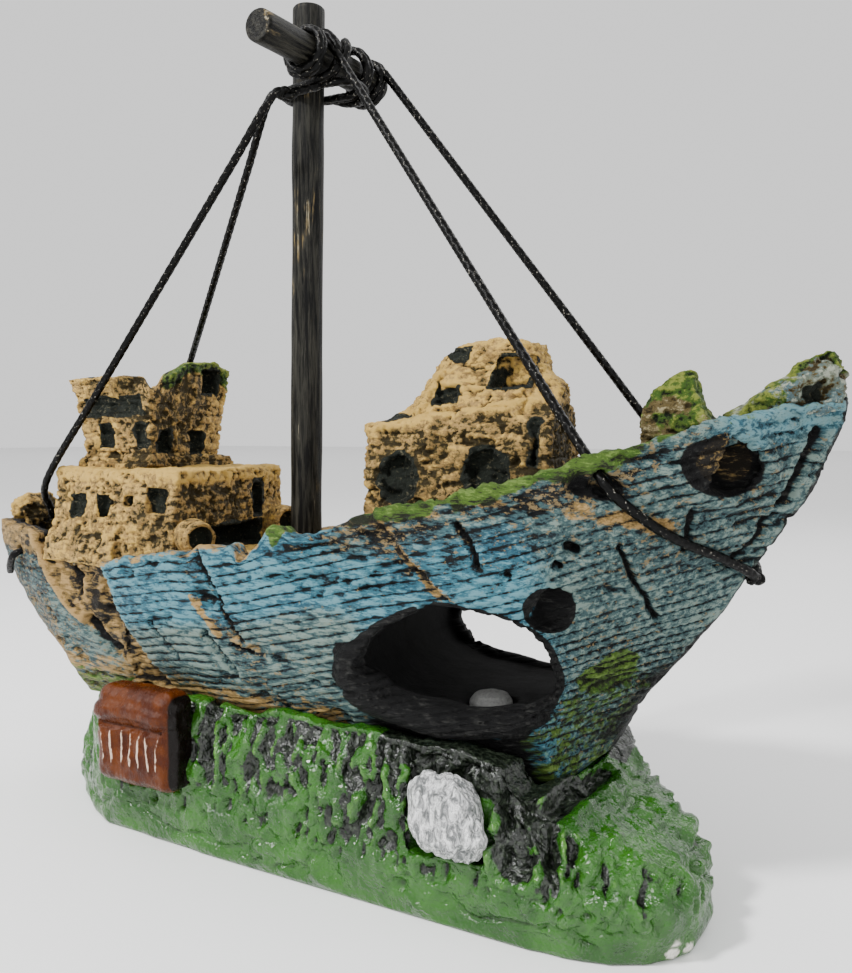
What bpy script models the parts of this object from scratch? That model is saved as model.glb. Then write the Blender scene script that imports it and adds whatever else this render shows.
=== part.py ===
"""Shipwreck ornament for an aquarium, with an air stone in its hold.

Frame: metres, +X to the bow, +Y to port, +Z up. The origin is the centre of the flat underside.
Lengths below are in millimetres and are scaled by MM where a mesh or a curve is made.
"""

import math

import bmesh
import bpy
from mathutils import Matrix, Vector

MM = 0.001
GAP = 0.35  # clearance between neighbouring pieces

# Driving sizes
HULL_WALL = 2.6  # thickness of the bulwarks at the rail
KEEL_FLAT = 12.0  # underside of the hull where it is bedded in the reef
DECK_Z = 32.6  # floor of the waist, under the planked deck
CASTLE_TOP = 44.6
HOLD_X, HOLD_Z = 17.0, 25.9  # middle of the hold's swim-through
HOLD_LENGTH, HOLD_HEIGHT = 25.4, 12.6
HOLD_SLANT = 0.17  # how far its after end moves aft per millimetre to port
MAST_R = 2.0
MAST_TOP = (-9.5, 0.0, 102.8)
MAST_FOOT = (-10.55, 0.0, 26.0)
YARD_R = 1.9
YARD_Z = 94.9
YARD_ENDS = (-14.7, 9.2)
CORD_R = 0.5  # waxed braided cord, 1 mm across
BUNDLE_R = 0.75  # several turns of that cord side by side
AIR_X, AIR_Y = 19.4, -5.4  # middle of the air stone
AIR_BORE_Z = 5.6  # height of the air channel in the reef
STONE_R = 2.4
BARB_R = 2.4

# Half sections of the hull: x, keel height, half beam at the rail, rail height, fullness
HULL_STATIONS = (
    (-65.8, 33.6, 4.2, 35.8, 1.5),
    (-64.6, 28.6, 6.0, 36.4, 1.7),
    (-61.0, 21.0, 8.4, 36.4, 2.0),
    (-56.0, 15.4, 10.4, 36.2, 2.2),
    (-51.0, 12.4, 11.8, 36.0, 2.3),
    (-46.0, 12.0, 12.8, 35.6, 2.3),
    (-38.0, 12.0, 13.6, 34.4, 2.3),
    (-31.2, 12.0, 14.0, 33.2, 2.3),
    (-30.6, 12.0, 17.2, 33.2, 2.3),
    (-24.0, 12.0, 18.4, 34.2, 2.4),
    (-16.0, 12.0, 19.2, 35.6, 2.6),
    (-8.0, 12.0, 19.6, 36.2, 2.8),
    (2.0, 12.0, 19.6, 38.6, 2.8),
    (12.0, 12.0, 19.2, 41.0, 2.7),
    (21.0, 12.0, 18.4, 42.8, 2.5),
    (28.0, 12.0, 17.2, 44.8, 2.3),
    (31.5, 15.2, 16.4, 46.0, 2.1),
    (35.0, 21.4, 15.2, 47.3, 1.9),
    (39.8, 26.9, 12.8, 48.8, 1.7),
    (44.0, 32.4, 10.2, 50.2, 1.5),
    (48.0, 38.2, 7.2, 51.4, 1.35),
    (51.5, 43.6, 4.4, 52.2, 1.25),
    (54.5, 50.6, 1.4, 52.8, 1.1),
)

# Outline of the reef: x, starboard edge, port edge, height. The nose leans to starboard.
REEF_STATIONS = (
    (-43.4, 6.0, 4.6, 8.4),
    (-41.6, 9.4, 9.0, 11.6),
    (-37.4, 12.8, 13.0, 14.4),
    (-33.6, 15.2, 15.5, 16.2),
    (-29.5, 17.0, 17.0, 17.2),
    (-10.0, 17.8, 17.8, 17.6),
    (8.0, 17.8, 17.8, 17.8),
    (20.0, 17.8, 17.6, 17.4),
    (26.0, 17.8, 16.5, 16.4),
    (30.0, 17.7, 12.6, 13.4),
    (34.0, 17.3, 8.6, 10.6),
    (37.5, 16.3, 5.4, 9.4),
    (40.2, 14.6, 2.0, 8.2),
    (42.2, 12.4, -1.6, 6.8),
    (43.4, 9.8, -4.6, 5.0),
)

SHELL_WIDTHS = (0.0, 0.1, 0.24, 0.42, 0.62, 0.82, 1.0)  # share of the height, keel to rail


# Shape functions ---------------------------------------------------------------------------


def lookup(x, stations):
    """The station values at x, in straight runs between the stations."""
    if x <= stations[0][0]:
        return stations[0][1:]
    for low, high in zip(stations, stations[1:]):
        if x <= high[0]:
            share = (x - low[0]) / (high[0] - low[0])
            return tuple(a + (b - a) * share for a, b in zip(low[1:], high[1:]))
    return stations[-1][1:]


def hull_half(x, z):
    """Half width of the hull at x and height z."""
    keel, beam, rail, fullness = lookup(x, HULL_STATIONS)
    share = min(max((z - keel) / (rail - keel), 0.0), 1.0)
    flat = 0.42 * beam if keel <= KEEL_FLAT else 0.06 * beam
    return flat + (beam - flat) * (1.0 - (1.0 - share) ** fullness)


def on_side(x, z, side, lift=CORD_R + GAP):
    """A point just off the hull's side, where a cord can lie."""
    return (x, side * (hull_half(x, z) + lift), z)


def mast_at(z):
    """The middle of the leaning mast at height z."""
    share = (z - MAST_FOOT[2]) / (MAST_TOP[2] - MAST_FOOT[2])
    return Vector(MAST_FOOT).lerp(Vector(MAST_TOP), share)


MAST_TURN = Vector((0, 0, 1)).rotation_difference(Vector(MAST_TOP) - Vector(MAST_FOOT))
CROSSING = mast_at(YARD_Z)
YARD_OUT = MAST_R + GAP + YARD_R  # from the mast's axis to the yard's


def by_crossing(x, y, z):
    """A point given from the crossing, along the leaning mast's own directions."""
    return tuple(CROSSING + MAST_TURN @ Vector((x, y, z)))


# Making objects ----------------------------------------------------------------------------


def paint(piece, colour, roughness=0.7, metallic=0.0):
    """One Principled material of the piece's own."""
    skin = bpy.data.materials.new(piece.name)
    skin.use_nodes = True
    shader = skin.node_tree.nodes["Principled BSDF"]
    shader.inputs["Base Color"].default_value = (*colour, 1.0)
    shader.inputs["Roughness"].default_value = roughness
    shader.inputs["Metallic"].default_value = metallic
    piece.data.materials.append(skin)
    return piece


def add_object(name, data):
    piece = bpy.data.objects.new(name, data)
    bpy.context.scene.collection.objects.link(piece)
    return piece


def from_bmesh(name, shape, smooth=False):
    bmesh.ops.recalc_face_normals(shape, faces=shape.faces)
    data = bpy.data.meshes.new(name)
    shape.to_mesh(data)
    shape.free()
    if smooth:
        data.shade_smooth()
        data.set_sharp_from_angle(angle=math.radians(40))
    return add_object(name, data)


def lofted(name, rings, smooth=False):
    """A closed body through rings of points, each ring of the same count, capped at both ends."""
    shape = bmesh.new()
    rows = [[shape.verts.new(Vector(p) * MM) for p in ring] for ring in rings]
    count = len(rows[0])
    for low, high in zip(rows, rows[1:]):
        for i in range(count):
            j = (i + 1) % count
            shape.faces.new((low[i], low[j], high[j], high[i]))
    shape.faces.new(rows[0])
    shape.faces.new(rows[-1])
    return from_bmesh(name, shape, smooth)


def block(name, low, high, taper=0.0, bevel=0.0):
    """A box from corner to corner, narrowed by taper at the top, with bevelled edges."""
    shape = bmesh.new()
    corners = []
    for z, cut in ((low[2], 0.0), (high[2], taper)):
        for x, y in ((0, 0), (1, 0), (1, 1), (0, 1)):
            px = (low[0] + cut) if x == 0 else (high[0] - cut)
            py = (low[1] + cut) if y == 0 else (high[1] - cut)
            corners.append(shape.verts.new((px * MM, py * MM, z * MM)))
    shape.faces.new(corners[0:4])
    shape.faces.new(corners[4:8])
    for i in range(4):
        j = (i + 1) % 4
        shape.faces.new((corners[i], corners[j], corners[j + 4], corners[i + 4]))
    if bevel:
        bmesh.ops.bevel(
            shape, geom=list(shape.edges), offset=bevel * MM, segments=1, affect="EDGES"
        )
    return from_bmesh(name, shape)


def rod(name, start, end, radius, sides=20, end_radius=None, smooth=True):
    """A round bar from start to end, tapered when end_radius is given."""
    start, end = Vector(start) * MM, Vector(end) * MM
    turn = Vector((0, 0, 1)).rotation_difference(end - start).to_matrix().to_4x4()
    place = Matrix.Translation((start + end) / 2) @ turn
    shape = bmesh.new()
    bmesh.ops.create_cone(
        shape,
        cap_ends=True,
        segments=sides,
        radius1=radius * MM,
        radius2=(radius if end_radius is None else end_radius) * MM,
        depth=(end - start).length,
        matrix=place,
    )
    return from_bmesh(name, shape, smooth)


def stack(name, base, axis, profile, sides=20):
    """A turned piece: discs of (distance along the axis, radius), from base along axis."""
    axis = Vector(axis).normalized()
    turn = Vector((0, 0, 1)).rotation_difference(axis)
    rings = []
    for along, radius in profile:
        ring = []
        for i in range(sides):
            angle = math.tau * i / sides
            flat = Vector((radius * math.cos(angle), radius * math.sin(angle), along))
            ring.append(Vector(base) + turn @ flat)
        rings.append(ring)
    return lofted(name, rings, smooth=True)


def smooth_points(route, spacing, closed=False):
    """Evenly spaced points on a Catmull-Rom curve through the route."""
    points = [Vector(p) for p in route]
    count = len(points)
    dense = []
    spans = count if closed else count - 1
    for i in range(spans):
        if closed:
            a, b, c, d = (points[(i + k) % count] for k in (-1, 0, 1, 2))
        else:
            b, c = points[i], points[i + 1]
            a = points[i - 1] if i else b + (b - c)
            d = points[i + 2] if i + 2 < count else c + (c - b)
        for step in range(16):
            t = step / 16
            dense.append(
                0.5
                * (
                    2 * b
                    + (c - a) * t
                    + (2 * a - 5 * b + 4 * c - d) * t**2
                    + (3 * b - a - 3 * c + d) * t**3
                )
            )
    dense.append(points[0] if closed else points[-1])
    total = sum((b - a).length for a, b in zip(dense, dense[1:]))
    steps = max(3, round(total / spacing))
    even, walked, target = [dense[0]], 0.0, total / steps
    for a, b in zip(dense, dense[1:]):
        piece = (b - a).length
        while piece and walked + piece >= target - 1e-9 and len(even) < steps + 1:
            even.append(a.lerp(b, (target - walked) / piece))
            target += total / steps
        walked += piece
    return even[:steps] if closed else even[:steps] + [dense[-1]]


def cord(name, route, radius=CORD_R, spacing=2.6, closed=False, sides=2):
    """A cord along the route, as a curve with a round bevel."""
    points = smooth_points(route, spacing, closed)
    curve = bpy.data.curves.new(name, "CURVE")
    curve.dimensions = "3D"
    curve.bevel_depth = radius * MM
    curve.bevel_resolution = sides
    curve.use_fill_caps = True
    spline = curve.splines.new("POLY")
    spline.points.add(len(points) - 1)
    for target, point in zip(spline.points, points):
        target.co = (*(point * MM), 1.0)
    spline.use_cyclic_u = closed
    return paint(add_object(name, curve), (0.012, 0.011, 0.010), 0.55)


def cut(piece, cutter, operation="DIFFERENCE"):
    """Cut the piece by a guide object, or join them, with an exact Boolean."""
    cutter.hide_render = True
    cutter.display_type = "WIRE"
    step = piece.modifiers.new(cutter.name, "BOOLEAN")
    step.object = cutter
    step.operation = operation
    step.solver = "EXACT"
    return piece


# Hull and reef -----------------------------------------------------------------------------


def hull_ring(x, keel, rail, grow=0.0, raise_rail=0.0):
    """One closed section of the hull's outer form."""
    low = keel - grow
    right = []
    for share in SHELL_WIDTHS:
        z = keel + (rail - keel) * share
        half = hull_half(x, z) + grow
        right.append((half, low if share == 0.0 else z))
    right[-1] = (right[-1][0], rail + raise_rail)
    port = [(x, half, z) for half, z in right]
    starboard = [(x, -half, z) for half, z in reversed(right)]
    return port + starboard


def hull_body(name, grow=0.0, raise_rail=0.0):
    rings = []
    for x, keel, _, rail, _ in HULL_STATIONS:
        rings.append(hull_ring(x, keel, rail, grow, raise_rail))
    if grow:
        rings[0] = [(p[0] - grow, p[1], p[2]) for p in rings[0]]
        rings[-1] = [(p[0] + grow, p[1], p[2]) for p in rings[-1]]
    return lofted(name, rings)


def waist_cutter(name, low_x, high_x, floor, inset):
    """The room inside the bulwarks between two stations, from the floor up."""
    rings = []
    steps = 8
    for i in range(steps + 1):
        x = low_x + (high_x - low_x) * i / steps
        _, beam, rail, _ = lookup(x, HULL_STATIONS)
        foot = hull_half(x, floor) - inset
        top = max(beam - inset, foot)
        lid = rail + 12.0
        rings.append(
            [(x, foot, floor), (x, top, rail), (x, top, lid), (x, -top, lid), (x, -top, rail)]
            + [(x, -foot, floor)]
        )
    return lofted(name, rings)


def deck_floor(x):
    """Height of the foredeck's floor, below the rising rail."""
    return lookup(x, HULL_STATIONS)[2] - 2.2


def foredeck_cutter():
    rings = []
    for x in (4.0, 12.0, 20.0, 28.0, 35.0, 41.0, 46.0):
        _, beam, rail, _ = lookup(x, HULL_STATIONS)
        half = max(beam - HULL_WALL, 1.5)
        floor = deck_floor(x)
        rings.append([(x, half, floor), (x, half, 70.0), (x, -half, 70.0), (x, -half, floor)])
    return lofted("foredeck_room", rings)


def oval_ring(y):
    """The outline of the swim-through: a rounded oval, with its after end slanting aft to port."""
    fore = HOLD_X + HOLD_LENGTH / 2
    aft = HOLD_X - HOLD_LENGTH / 2 - HOLD_SLANT * y
    ring = []
    for i in range(20):
        angle = math.tau * i / 20
        c, s = math.cos(angle), math.sin(angle)
        x = (fore + aft) / 2 + (fore - aft) / 2 * math.copysign(abs(c) ** 0.72, c)
        z = HOLD_Z + HOLD_HEIGHT / 2 * math.copysign(abs(s) ** 0.72, s)
        ring.append((x, y, z))
    return ring


STAY_RAIL = {side: (32.2, side * 13.2, 49.0) for side in (-1, 1)}
FORE_EXIT_X, FORE_EXIT_Z = 36.8, 43.4
AFT_EXIT_X, AFT_EXIT_Z = -54.4, 32.0


def hull():
    body = hull_body("hull")
    cut(body, waist_cutter("waist_room", -24.2, 4.2, DECK_Z, HULL_WALL))
    cut(body, waist_cutter("stern_room", -62.0, -47.6, 31.6, HULL_WALL))
    cut(body, foredeck_cutter())
    cut(body, block("castle_seat", (-47.7, -30, DECK_Z), (-30.9, 30, 60)))
    cut(body, block("castle_seat_fore", (-31.4, -13.3, DECK_Z), (-24.1, 13.3, 60)))
    cut(body, lofted("swim_through", [oval_ring(-26.0), oval_ring(26.0)]))
    cut(body, rod("mast_socket", mast_at(26.0 - GAP), mast_at(60.0), MAST_R + GAP, 20))
    for side in (-1, 1):
        tag = "port" if side > 0 else "starboard"
        hawse = (44.9, side * hull_half(44.9, 46.6), 46.6)
        cut(body, rod(f"hawse_{tag}", hawse, (hawse[0], hawse[1] * 0.55, hawse[2]), 2.8, 16))
        port_y = side * (hull_half(30.3, 32.4) + 1.0)
        cut(body, rod(f"port_{tag}", (30.3, port_y, 32.4), (30.3, port_y * 0.84, 32.4), 2.3, 16))
        for line, route in (("fore", fore_hole(side)), ("aft", aft_hole(side))):
            cut(body, rod(f"{line}_hole_{tag}", *route, CORD_R + GAP, 12))
    cut(body, rod("air_bore_up", (AIR_X, AIR_Y, 2.0), (AIR_X, AIR_Y, 24.0), 2.0 + GAP, 16))
    seat = HOLD_Z - HOLD_HEIGHT / 2 - 2.0
    cut(body, rod("stone_seat", (AIR_X, AIR_Y, seat), (AIR_X, AIR_Y, seat + 8), STONE_R + GAP, 20))
    return paint(body, (0.13, 0.38, 0.56), 0.75)


def reef():
    """The rock that the wreck is bedded in, with bulging sides and a flat underside."""
    swell = ((0.0, 0.0), (0.6, 0.25), (0.7, 0.55), (-0.3, 0.82), (-2.2, 1.0))
    rings = []
    for x, starboard, port, height in REEF_STATIONS:
        ring = [(x, port + out, height * up) for out, up in swell]
        ring += [(x, -starboard - out, height * up) for out, up in reversed(swell)]
        rings.append(ring)
    body = lofted("reef_base", rings)
    cut(body, hull_body("hull_bed", GAP, 40.0))
    bore = (AIR_X, 24.0, AIR_BORE_Z), (AIR_X, AIR_Y - 2.6, AIR_BORE_Z)
    cut(body, rod("air_bore_along", *bore, 2.0 + GAP, 16))
    up = (AIR_X, AIR_Y, AIR_BORE_Z - 2.6), (AIR_X, AIR_Y, 24.0)
    cut(body, rod("air_bore_reef", *up, 2.0 + GAP, 16))
    cut(body, block("chest_seat", (-27.3, -30, 6.9), (-15.4, -16.0, 19.2)))
    cut(body, block("rock_seat", (16.4, -30, 7.2), (25.6, -16.0, 16.2)))
    return paint(body, (0.10, 0.28, 0.06), 0.45)


def treasure_chest():
    body = block("treasure_chest", (-26.9, -20.6, 7.3), (-15.8, -16.4, 18.8), 0.0, 1.0)
    return paint(body, (0.22, 0.055, 0.025), 0.35)


def silver_rock():
    low, high = (16.8, -20.4, 7.6), (25.2, -16.4, 15.8)
    body = block("silver_rock", low, high, 0.0, 2.0)
    return paint(body, (0.72, 0.73, 0.74), 0.3, 0.4)


# Deck works --------------------------------------------------------------------------------


def main_deck():
    """Planks laid in the waist, between the bulwarks, with a hole for the mast."""
    floor, top = DECK_Z + GAP, DECK_Z + 1.5
    rings = []
    for far, near in ((-23.8, -20.6), (-16.0, -16.0), (-8.0, -8.0), (0.0, 0.0), (3.6, 3.6)):
        half = hull_half(far, floor) - HULL_WALL - GAP
        ring = [(far, half, floor), (far, half, top), (near, -half, top), (near, -half, floor)]
        rings.append(ring)
    body = lofted("main_deck", rings)
    cut(body, rod("mast_hole", mast_at(20.0), mast_at(60.0), MAST_R + GAP, 20))
    return paint(body, (0.30, 0.20, 0.09), 0.8)


def stern_castle_lower():
    """The lower cabin of the sterncastle, its front slanting aft to port, with a low doorway."""
    floor, top = DECK_Z + GAP, CASTLE_TOP
    rings = []
    stations = ((-46.2, -46.2, 10.2), (-40.0, -40.0, 11.4), (-32.0, -32.0, 12.2))
    for far, near, half in (*stations, (-24.8, -21.4, 12.4)):
        rings.append(
            [
                (far, half + 0.4, floor),
                (far, half + 0.2, floor + 6.0),
                (far, half - 0.6, top),
                (near, -half + 0.6, top),
                (near, -half - 0.2, floor + 6.0),
                (near, -half - 0.4, floor),
            ]
        )
    body = lofted("stern_castle_lower", rings)
    cut(body, block("castle_door", (-27.5, -5.0, 34.0), (-18.0, 6.6, 37.0)))
    cut(body, block("castle_slot", (-26.6, 5.0, 38.0), (-18.0, 7.4, 42.6)))
    lights = ((-41.9, -38.6, 37.9, 41.2), (-36.2, -33.4, 38.3, 41.2))
    lights += ((-30.8, -28.9, 39.9, 41.5), (-26.8, -22.8, 39.2, 42.4))
    for i, (low_x, high_x, low_z, high_z) in enumerate(lights):
        cut(body, block(f"castle_light_{i}", (low_x, -20.0, low_z), (high_x, -10.6, high_z)))
    for i, (low_x, high_x, low_z, high_z) in enumerate(lights[:3]):
        cut(body, block(f"castle_far_light_{i}", (low_x, 10.4, low_z), (high_x, 20.0, high_z)))
    return paint(body, (0.42, 0.28, 0.12), 0.8)


def stern_castle_upper():
    """The upper cabin: walls that flare outwards, open on the near side and higher to port."""
    floor, top = CASTLE_TOP + GAP, 56.8
    rings = []
    for z, cut_in in ((floor, 0.9), (floor + 1.6, 1.6), (floor + 8.0, 0.9), (top, 0.0)):
        aft, near, far, half = -44.2 + cut_in, -28.3 - cut_in, -31.8 - cut_in, 9.7 - cut_in
        high = z + (1.6 if z == top else 0.0)
        rings.append([(aft, -half, z), (near, -half, z), (far, half, high), (aft, half, high)])
    body = lofted("stern_castle_upper", rings)
    cut(body, block("roof_gap", (-34.0, -7.2, 55.2), (-20.0, -4.6, 64.0)))
    cut(body, block("roof_room", (-42.4, -7.8, 54.8), (-32.4, -1.0, 64.0)))
    cut(body, block("front_hollow", (-34.2, 2.6, 54.4), (-20.0, 7.2, 57.0)))
    cut(body, block("side_hollow", (-41.4, -20.0, 51.8), (-30.6, -8.5, 54.2)))
    cut(body, block("front_light_0", (-32.2, -6.7, 46.8), (-20.0, -3.8, 49.8)))
    cut(body, block("front_light_1", (-33.6, 0.9, 46.5), (-20.0, 4.1, 49.6)))
    for i, (x, width) in enumerate(((-39.2, 2.8), (-32.4, 2.2))):
        cut(body, block(f"side_light_{i}", (x, -20.0, 47.5), (x + width, -7.7, 50.6)))
    for i, x in enumerate((-41.4, -36.8)):
        cut(body, block(f"far_side_light_{i}", (x, 7.2, 47.8), (x + 2.4, 20.0, 51.6)))
    return paint(body, (0.45, 0.31, 0.14), 0.8)


def deckhouse():
    """The gabled house before the mast, with two round lights in each side."""
    rings = []
    profile = (
        (4.6, 8.2, 50.4, 51.0),
        (7.4, 8.5, 50.8, 53.0),
        (10.6, 8.6, 50.6, 57.2),
        (13.4, 8.6, 50.4, 59.6),
        (19.6, 8.6, 50.2, 60.0),
        (23.4, 8.4, 50.6, 59.4),
        (24.6, 8.3, 50.6, 56.4),
        (27.4, 8.2, 50.2, 54.6),
    )
    for x, half, eaves, ridge in profile:
        floor = deck_floor(x) + GAP
        right = [(half + 0.6, floor), (half, eaves - 0.8), (half - 0.4, eaves), (1.8, ridge)]
        section = right + [(-y, z) for y, z in reversed(right)]
        slant = 0.03 * max(x - 20.0, 0.0)
        rings.append([(x - slant * (y + 8.4), y, z) for y, z in section])
    body = lofted("deckhouse", rings)
    for side in (-1, 1):
        for i, (x, z) in enumerate(((9.4, 44.4), (20.4, 45.2))):
            start, end = (x, side * 14.0, z), (x, side * 7.6, z)
            cut(body, rod(f"round_light_{side + 1}_{i}", start, end, 2.5, 16))
    cut(body, block("roof_opening", (19.0, -8.0, 54.4), (23.2, -1.4, 57.8)))
    cut(body, block("roof_hollow", (12.2, -8.0, 52.6), (15.4, -4.6, 54.6)))
    cut(body, block("corner_slot", (25.2, -12.0, 46.0), (26.2, -7.2, 51.6)))
    return paint(body, (0.44, 0.30, 0.13), 0.8)


def barrel(name, centre, radius, length):
    """A small cask lying athwart, fuller at its middle."""
    half = length / 2
    profile = ((0.0, radius * 0.8), (half * 0.5, radius * 0.96), (half, radius))
    profile += ((half * 1.5, radius * 0.96), (length, radius * 0.8))
    start = (centre[0], centre[1] - half, centre[2])
    body = stack(name, start, (0, 1, 0), profile, 14)
    return paint(body, (0.34, 0.20, 0.08), 0.75)


def mossy(name, stations, floor_at):
    """A mossy stump of broken bulwark: x, half width, middle and top, standing on floor_at(x)."""
    rings = []
    for x, half, middle, top in stations:
        low, shoulder = floor_at(x) + GAP, half * 0.6
        right = [(half, low), (half, (low + top) / 2), (shoulder, top)]
        ring = [(x, middle + y, z) for y, z in right]
        ring += [(x, middle - y, z) for y, z in reversed(right)]
        rings.append(ring)
    return paint(lofted(name, rings), (0.12, 0.22, 0.05), 0.85)


def rail_at(x):
    return lookup(x, HULL_STATIONS)[2]


def bow_stump():
    stations = ((35.8, 1.6, -3.4, 51.6), (37.0, 2.6, -3.2, 54.8), (39.0, 2.8, -3.0, 55.4))
    stations += ((40.6, 2.4, -2.8, 54.0), (42.0, 1.4, -2.8, 51.0))
    return mossy("bow_stump", stations, deck_floor)


def bow_crest():
    stations = ((46.8, 5.0, 0.0, 53.0), (49.0, 4.6, 0.0, 54.8), (51.4, 3.4, 0.0, 56.6))
    stations += ((53.0, 2.0, 0.0, 57.4), (54.2, 1.2, 0.0, 55.6))
    return mossy("bow_crest", stations, rail_at)


def taffrail():
    stations = ((-65.2, 3.0, 0.4, 38.8), (-64.0, 4.2, 0.4, 39.8), (-62.5, 4.6, 0.4, 38.6))
    return mossy("taffrail", stations, rail_at)


# Mast, yard and rigging --------------------------------------------------------------------


def mast():
    body = rod("mast", MAST_FOOT, MAST_TOP, MAST_R, 24)
    return paint(body, (0.035, 0.028, 0.022), 0.7)


def yard():
    """The short spar, its origin on the axis it rocks about."""
    start, end = (by_crossing(YARD_OUT, y, 0.0) for y in YARD_ENDS)
    body = rod("yard", start, end, YARD_R, 24)
    return paint(body, (0.04, 0.032, 0.026), 0.7)


def yard_lashing():
    """One bundle of turns: behind the mast above and below, and over the yard at each side."""
    out = MAST_R + GAP + BUNDLE_R
    over = YARD_R + GAP + BUNDLE_R
    half = [
        (-out, 0.0, over),
        (-out * 0.68, out * 0.72, over),
        (0.0, out, over),
        (YARD_OUT * 0.55, out + 0.1, over),
        (YARD_OUT + over * 0.42, out + 0.1, over * 0.92),
        (YARD_OUT + over, out + 0.1, 0.0),
    ]
    loop = half + [(x, y, -z) for x, y, z in reversed(half[1:-1])]
    loop += [(-out, 0.0, -over)]
    loop += [(x, -y, -z) for x, y, z in half[1:]]
    loop += [(x, -y, z) for x, y, z in reversed(half[1:-1])]
    route = [by_crossing(*p) for p in loop]
    return cord("yard_lashing", route, BUNDLE_R, 1.3, closed=True)


def yard_knot(name, y):
    """A ring of turns round the yard that a pair of stays is tied to."""
    reach = YARD_R + GAP + BUNDLE_R
    loop = []
    for i in range(12):
        angle = math.tau * i / 12
        point = (YARD_OUT + reach * math.cos(angle), y, reach * math.sin(angle))
        loop.append(by_crossing(*point))
    return cord(name, loop, BUNDLE_R, 1.5, closed=True)


def fore_hole(side):
    """Where a fore stay runs down through the bulwark: in at the rail, out at the side."""
    rail = Vector(STAY_RAIL[side])
    out = Vector(on_side(FORE_EXIT_X, FORE_EXIT_Z, side, 0.9))
    reach = (out - rail).normalized()
    return tuple(rail - reach * 1.5), tuple(out + reach * 0.8)


def aft_hole(side):
    """Where an aft stay runs out of the stern room, through the planking to the quarter."""
    inside = Vector((-51.8, side * 6.8, 34.2))
    out = Vector(on_side(AFT_EXIT_X, AFT_EXIT_Z, side, 0.9))
    reach = (out - inside).normalized()
    return tuple(inside - reach * 0.5), tuple(out + reach * 0.8)


def fore_stay(name, start, side):
    """From the yard down through the bulwark, then along the side to the stem."""
    rail, out = (Vector(p) for p in fore_hole(side))
    route = [Vector(start).lerp(rail, i / 6) for i in range(6)]
    route += [rail, rail.lerp(out, 0.5), out.lerp(rail, 0.15)]
    for x, z in ((39.4, 40.8), (41.8, 38.8), (44.0, 37.4)):
        route.append(Vector(on_side(x, z, side)))
    route.append(Vector((46.7, side * 2.1, 35.9)))
    return cord(name, route)


def aft_stay(name, start, corner, side):
    """From the yard past the castle's corner into the stern room, then out to the sternpost."""
    inside, out = (Vector(p) for p in aft_hole(side))
    corner = Vector(corner)
    route = [Vector(start).lerp(corner, i / 5) for i in range(6)]
    route += [Vector((-48.2, side * 10.3, 42.8)), Vector((-50.4, side * 7.9, 38.4))]
    route += [inside, inside.lerp(out, 0.5), out.lerp(inside, 0.15)]
    for x, z in ((-56.4, 30.4), (-58.0, 29.2)):
        route.append(Vector(on_side(x, z, side)))
    return cord(name, route)


def end_knot(name, centre, radius):
    body = stack(
        name,
        (centre[0], centre[1] - radius, centre[2]),
        (0, 1, 0),
        ((0.0, radius * 0.5), (radius * 0.4, radius * 0.9), (radius, radius))
        + ((radius * 1.6, radius * 0.9), (radius * 2.0, radius * 0.5)),
        12,
    )
    return paint(body, (0.012, 0.011, 0.010), 0.55)


# Air line ----------------------------------------------------------------------------------


def air_channel():
    """The elbow of tube inside the reef that feeds the stone, with a 2 mm way through it."""
    radius = 2.0
    body = rod("air_channel", (AIR_X, 17.0, AIR_BORE_Z), (AIR_X, AIR_Y - 1.6, AIR_BORE_Z), radius, 16)
    riser = (AIR_X, AIR_Y, AIR_BORE_Z), (AIR_X, AIR_Y, HOLD_Z - HOLD_HEIGHT / 2 - 2.0)
    cut(body, rod("air_riser", *riser, 1.8, 16), "UNION")
    cut(body, rod("air_way", (AIR_X, 18.0, AIR_BORE_Z), (AIR_X, AIR_Y, AIR_BORE_Z), 1.0, 12))
    up = (AIR_X, AIR_Y, AIR_BORE_Z - 0.2), (AIR_X, AIR_Y, 30.0)
    cut(body, rod("air_way_up", *up, 0.9, 12))
    return paint(body, (0.75, 0.78, 0.76), 0.3)


def air_inlet():
    """The barbed stub that the air line pushes onto, at the back of the reef."""
    profile = [(0.0, 1.9), (1.5, 1.9), (1.6, 3.4), (2.8, 3.4), (2.9, 1.8)]
    for i in range(3):
        start = 3.4 + i * 2.0
        profile += [(start, 1.8), (start + 0.1, BARB_R), (start + 1.7, 1.7)]
    body = stack("air_inlet", (AIR_X, 17.0 + GAP, AIR_BORE_Z), (0, 1, 0), profile, 16)
    way = (AIR_X, 16.0, AIR_BORE_Z), (AIR_X, 30.0, AIR_BORE_Z)
    cut(body, rod("inlet_way", *way, 1.0, 12))
    return paint(body, (0.06, 0.06, 0.06), 0.4)


def air_stone():
    """The grey bubbler in the hold's floor."""
    seat = HOLD_Z - HOLD_HEIGHT / 2 - 2.0 + GAP
    profile = ((0.0, 1.9), (0.4, STONE_R), (2.0, STONE_R), (2.7, 1.9), (3.0, 1.0))
    body = stack("air_stone", (AIR_X, AIR_Y, seat), (0, 0, 1), profile, 20)
    return paint(body, (0.55, 0.56, 0.55), 0.9)


# Build -------------------------------------------------------------------------------------


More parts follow.
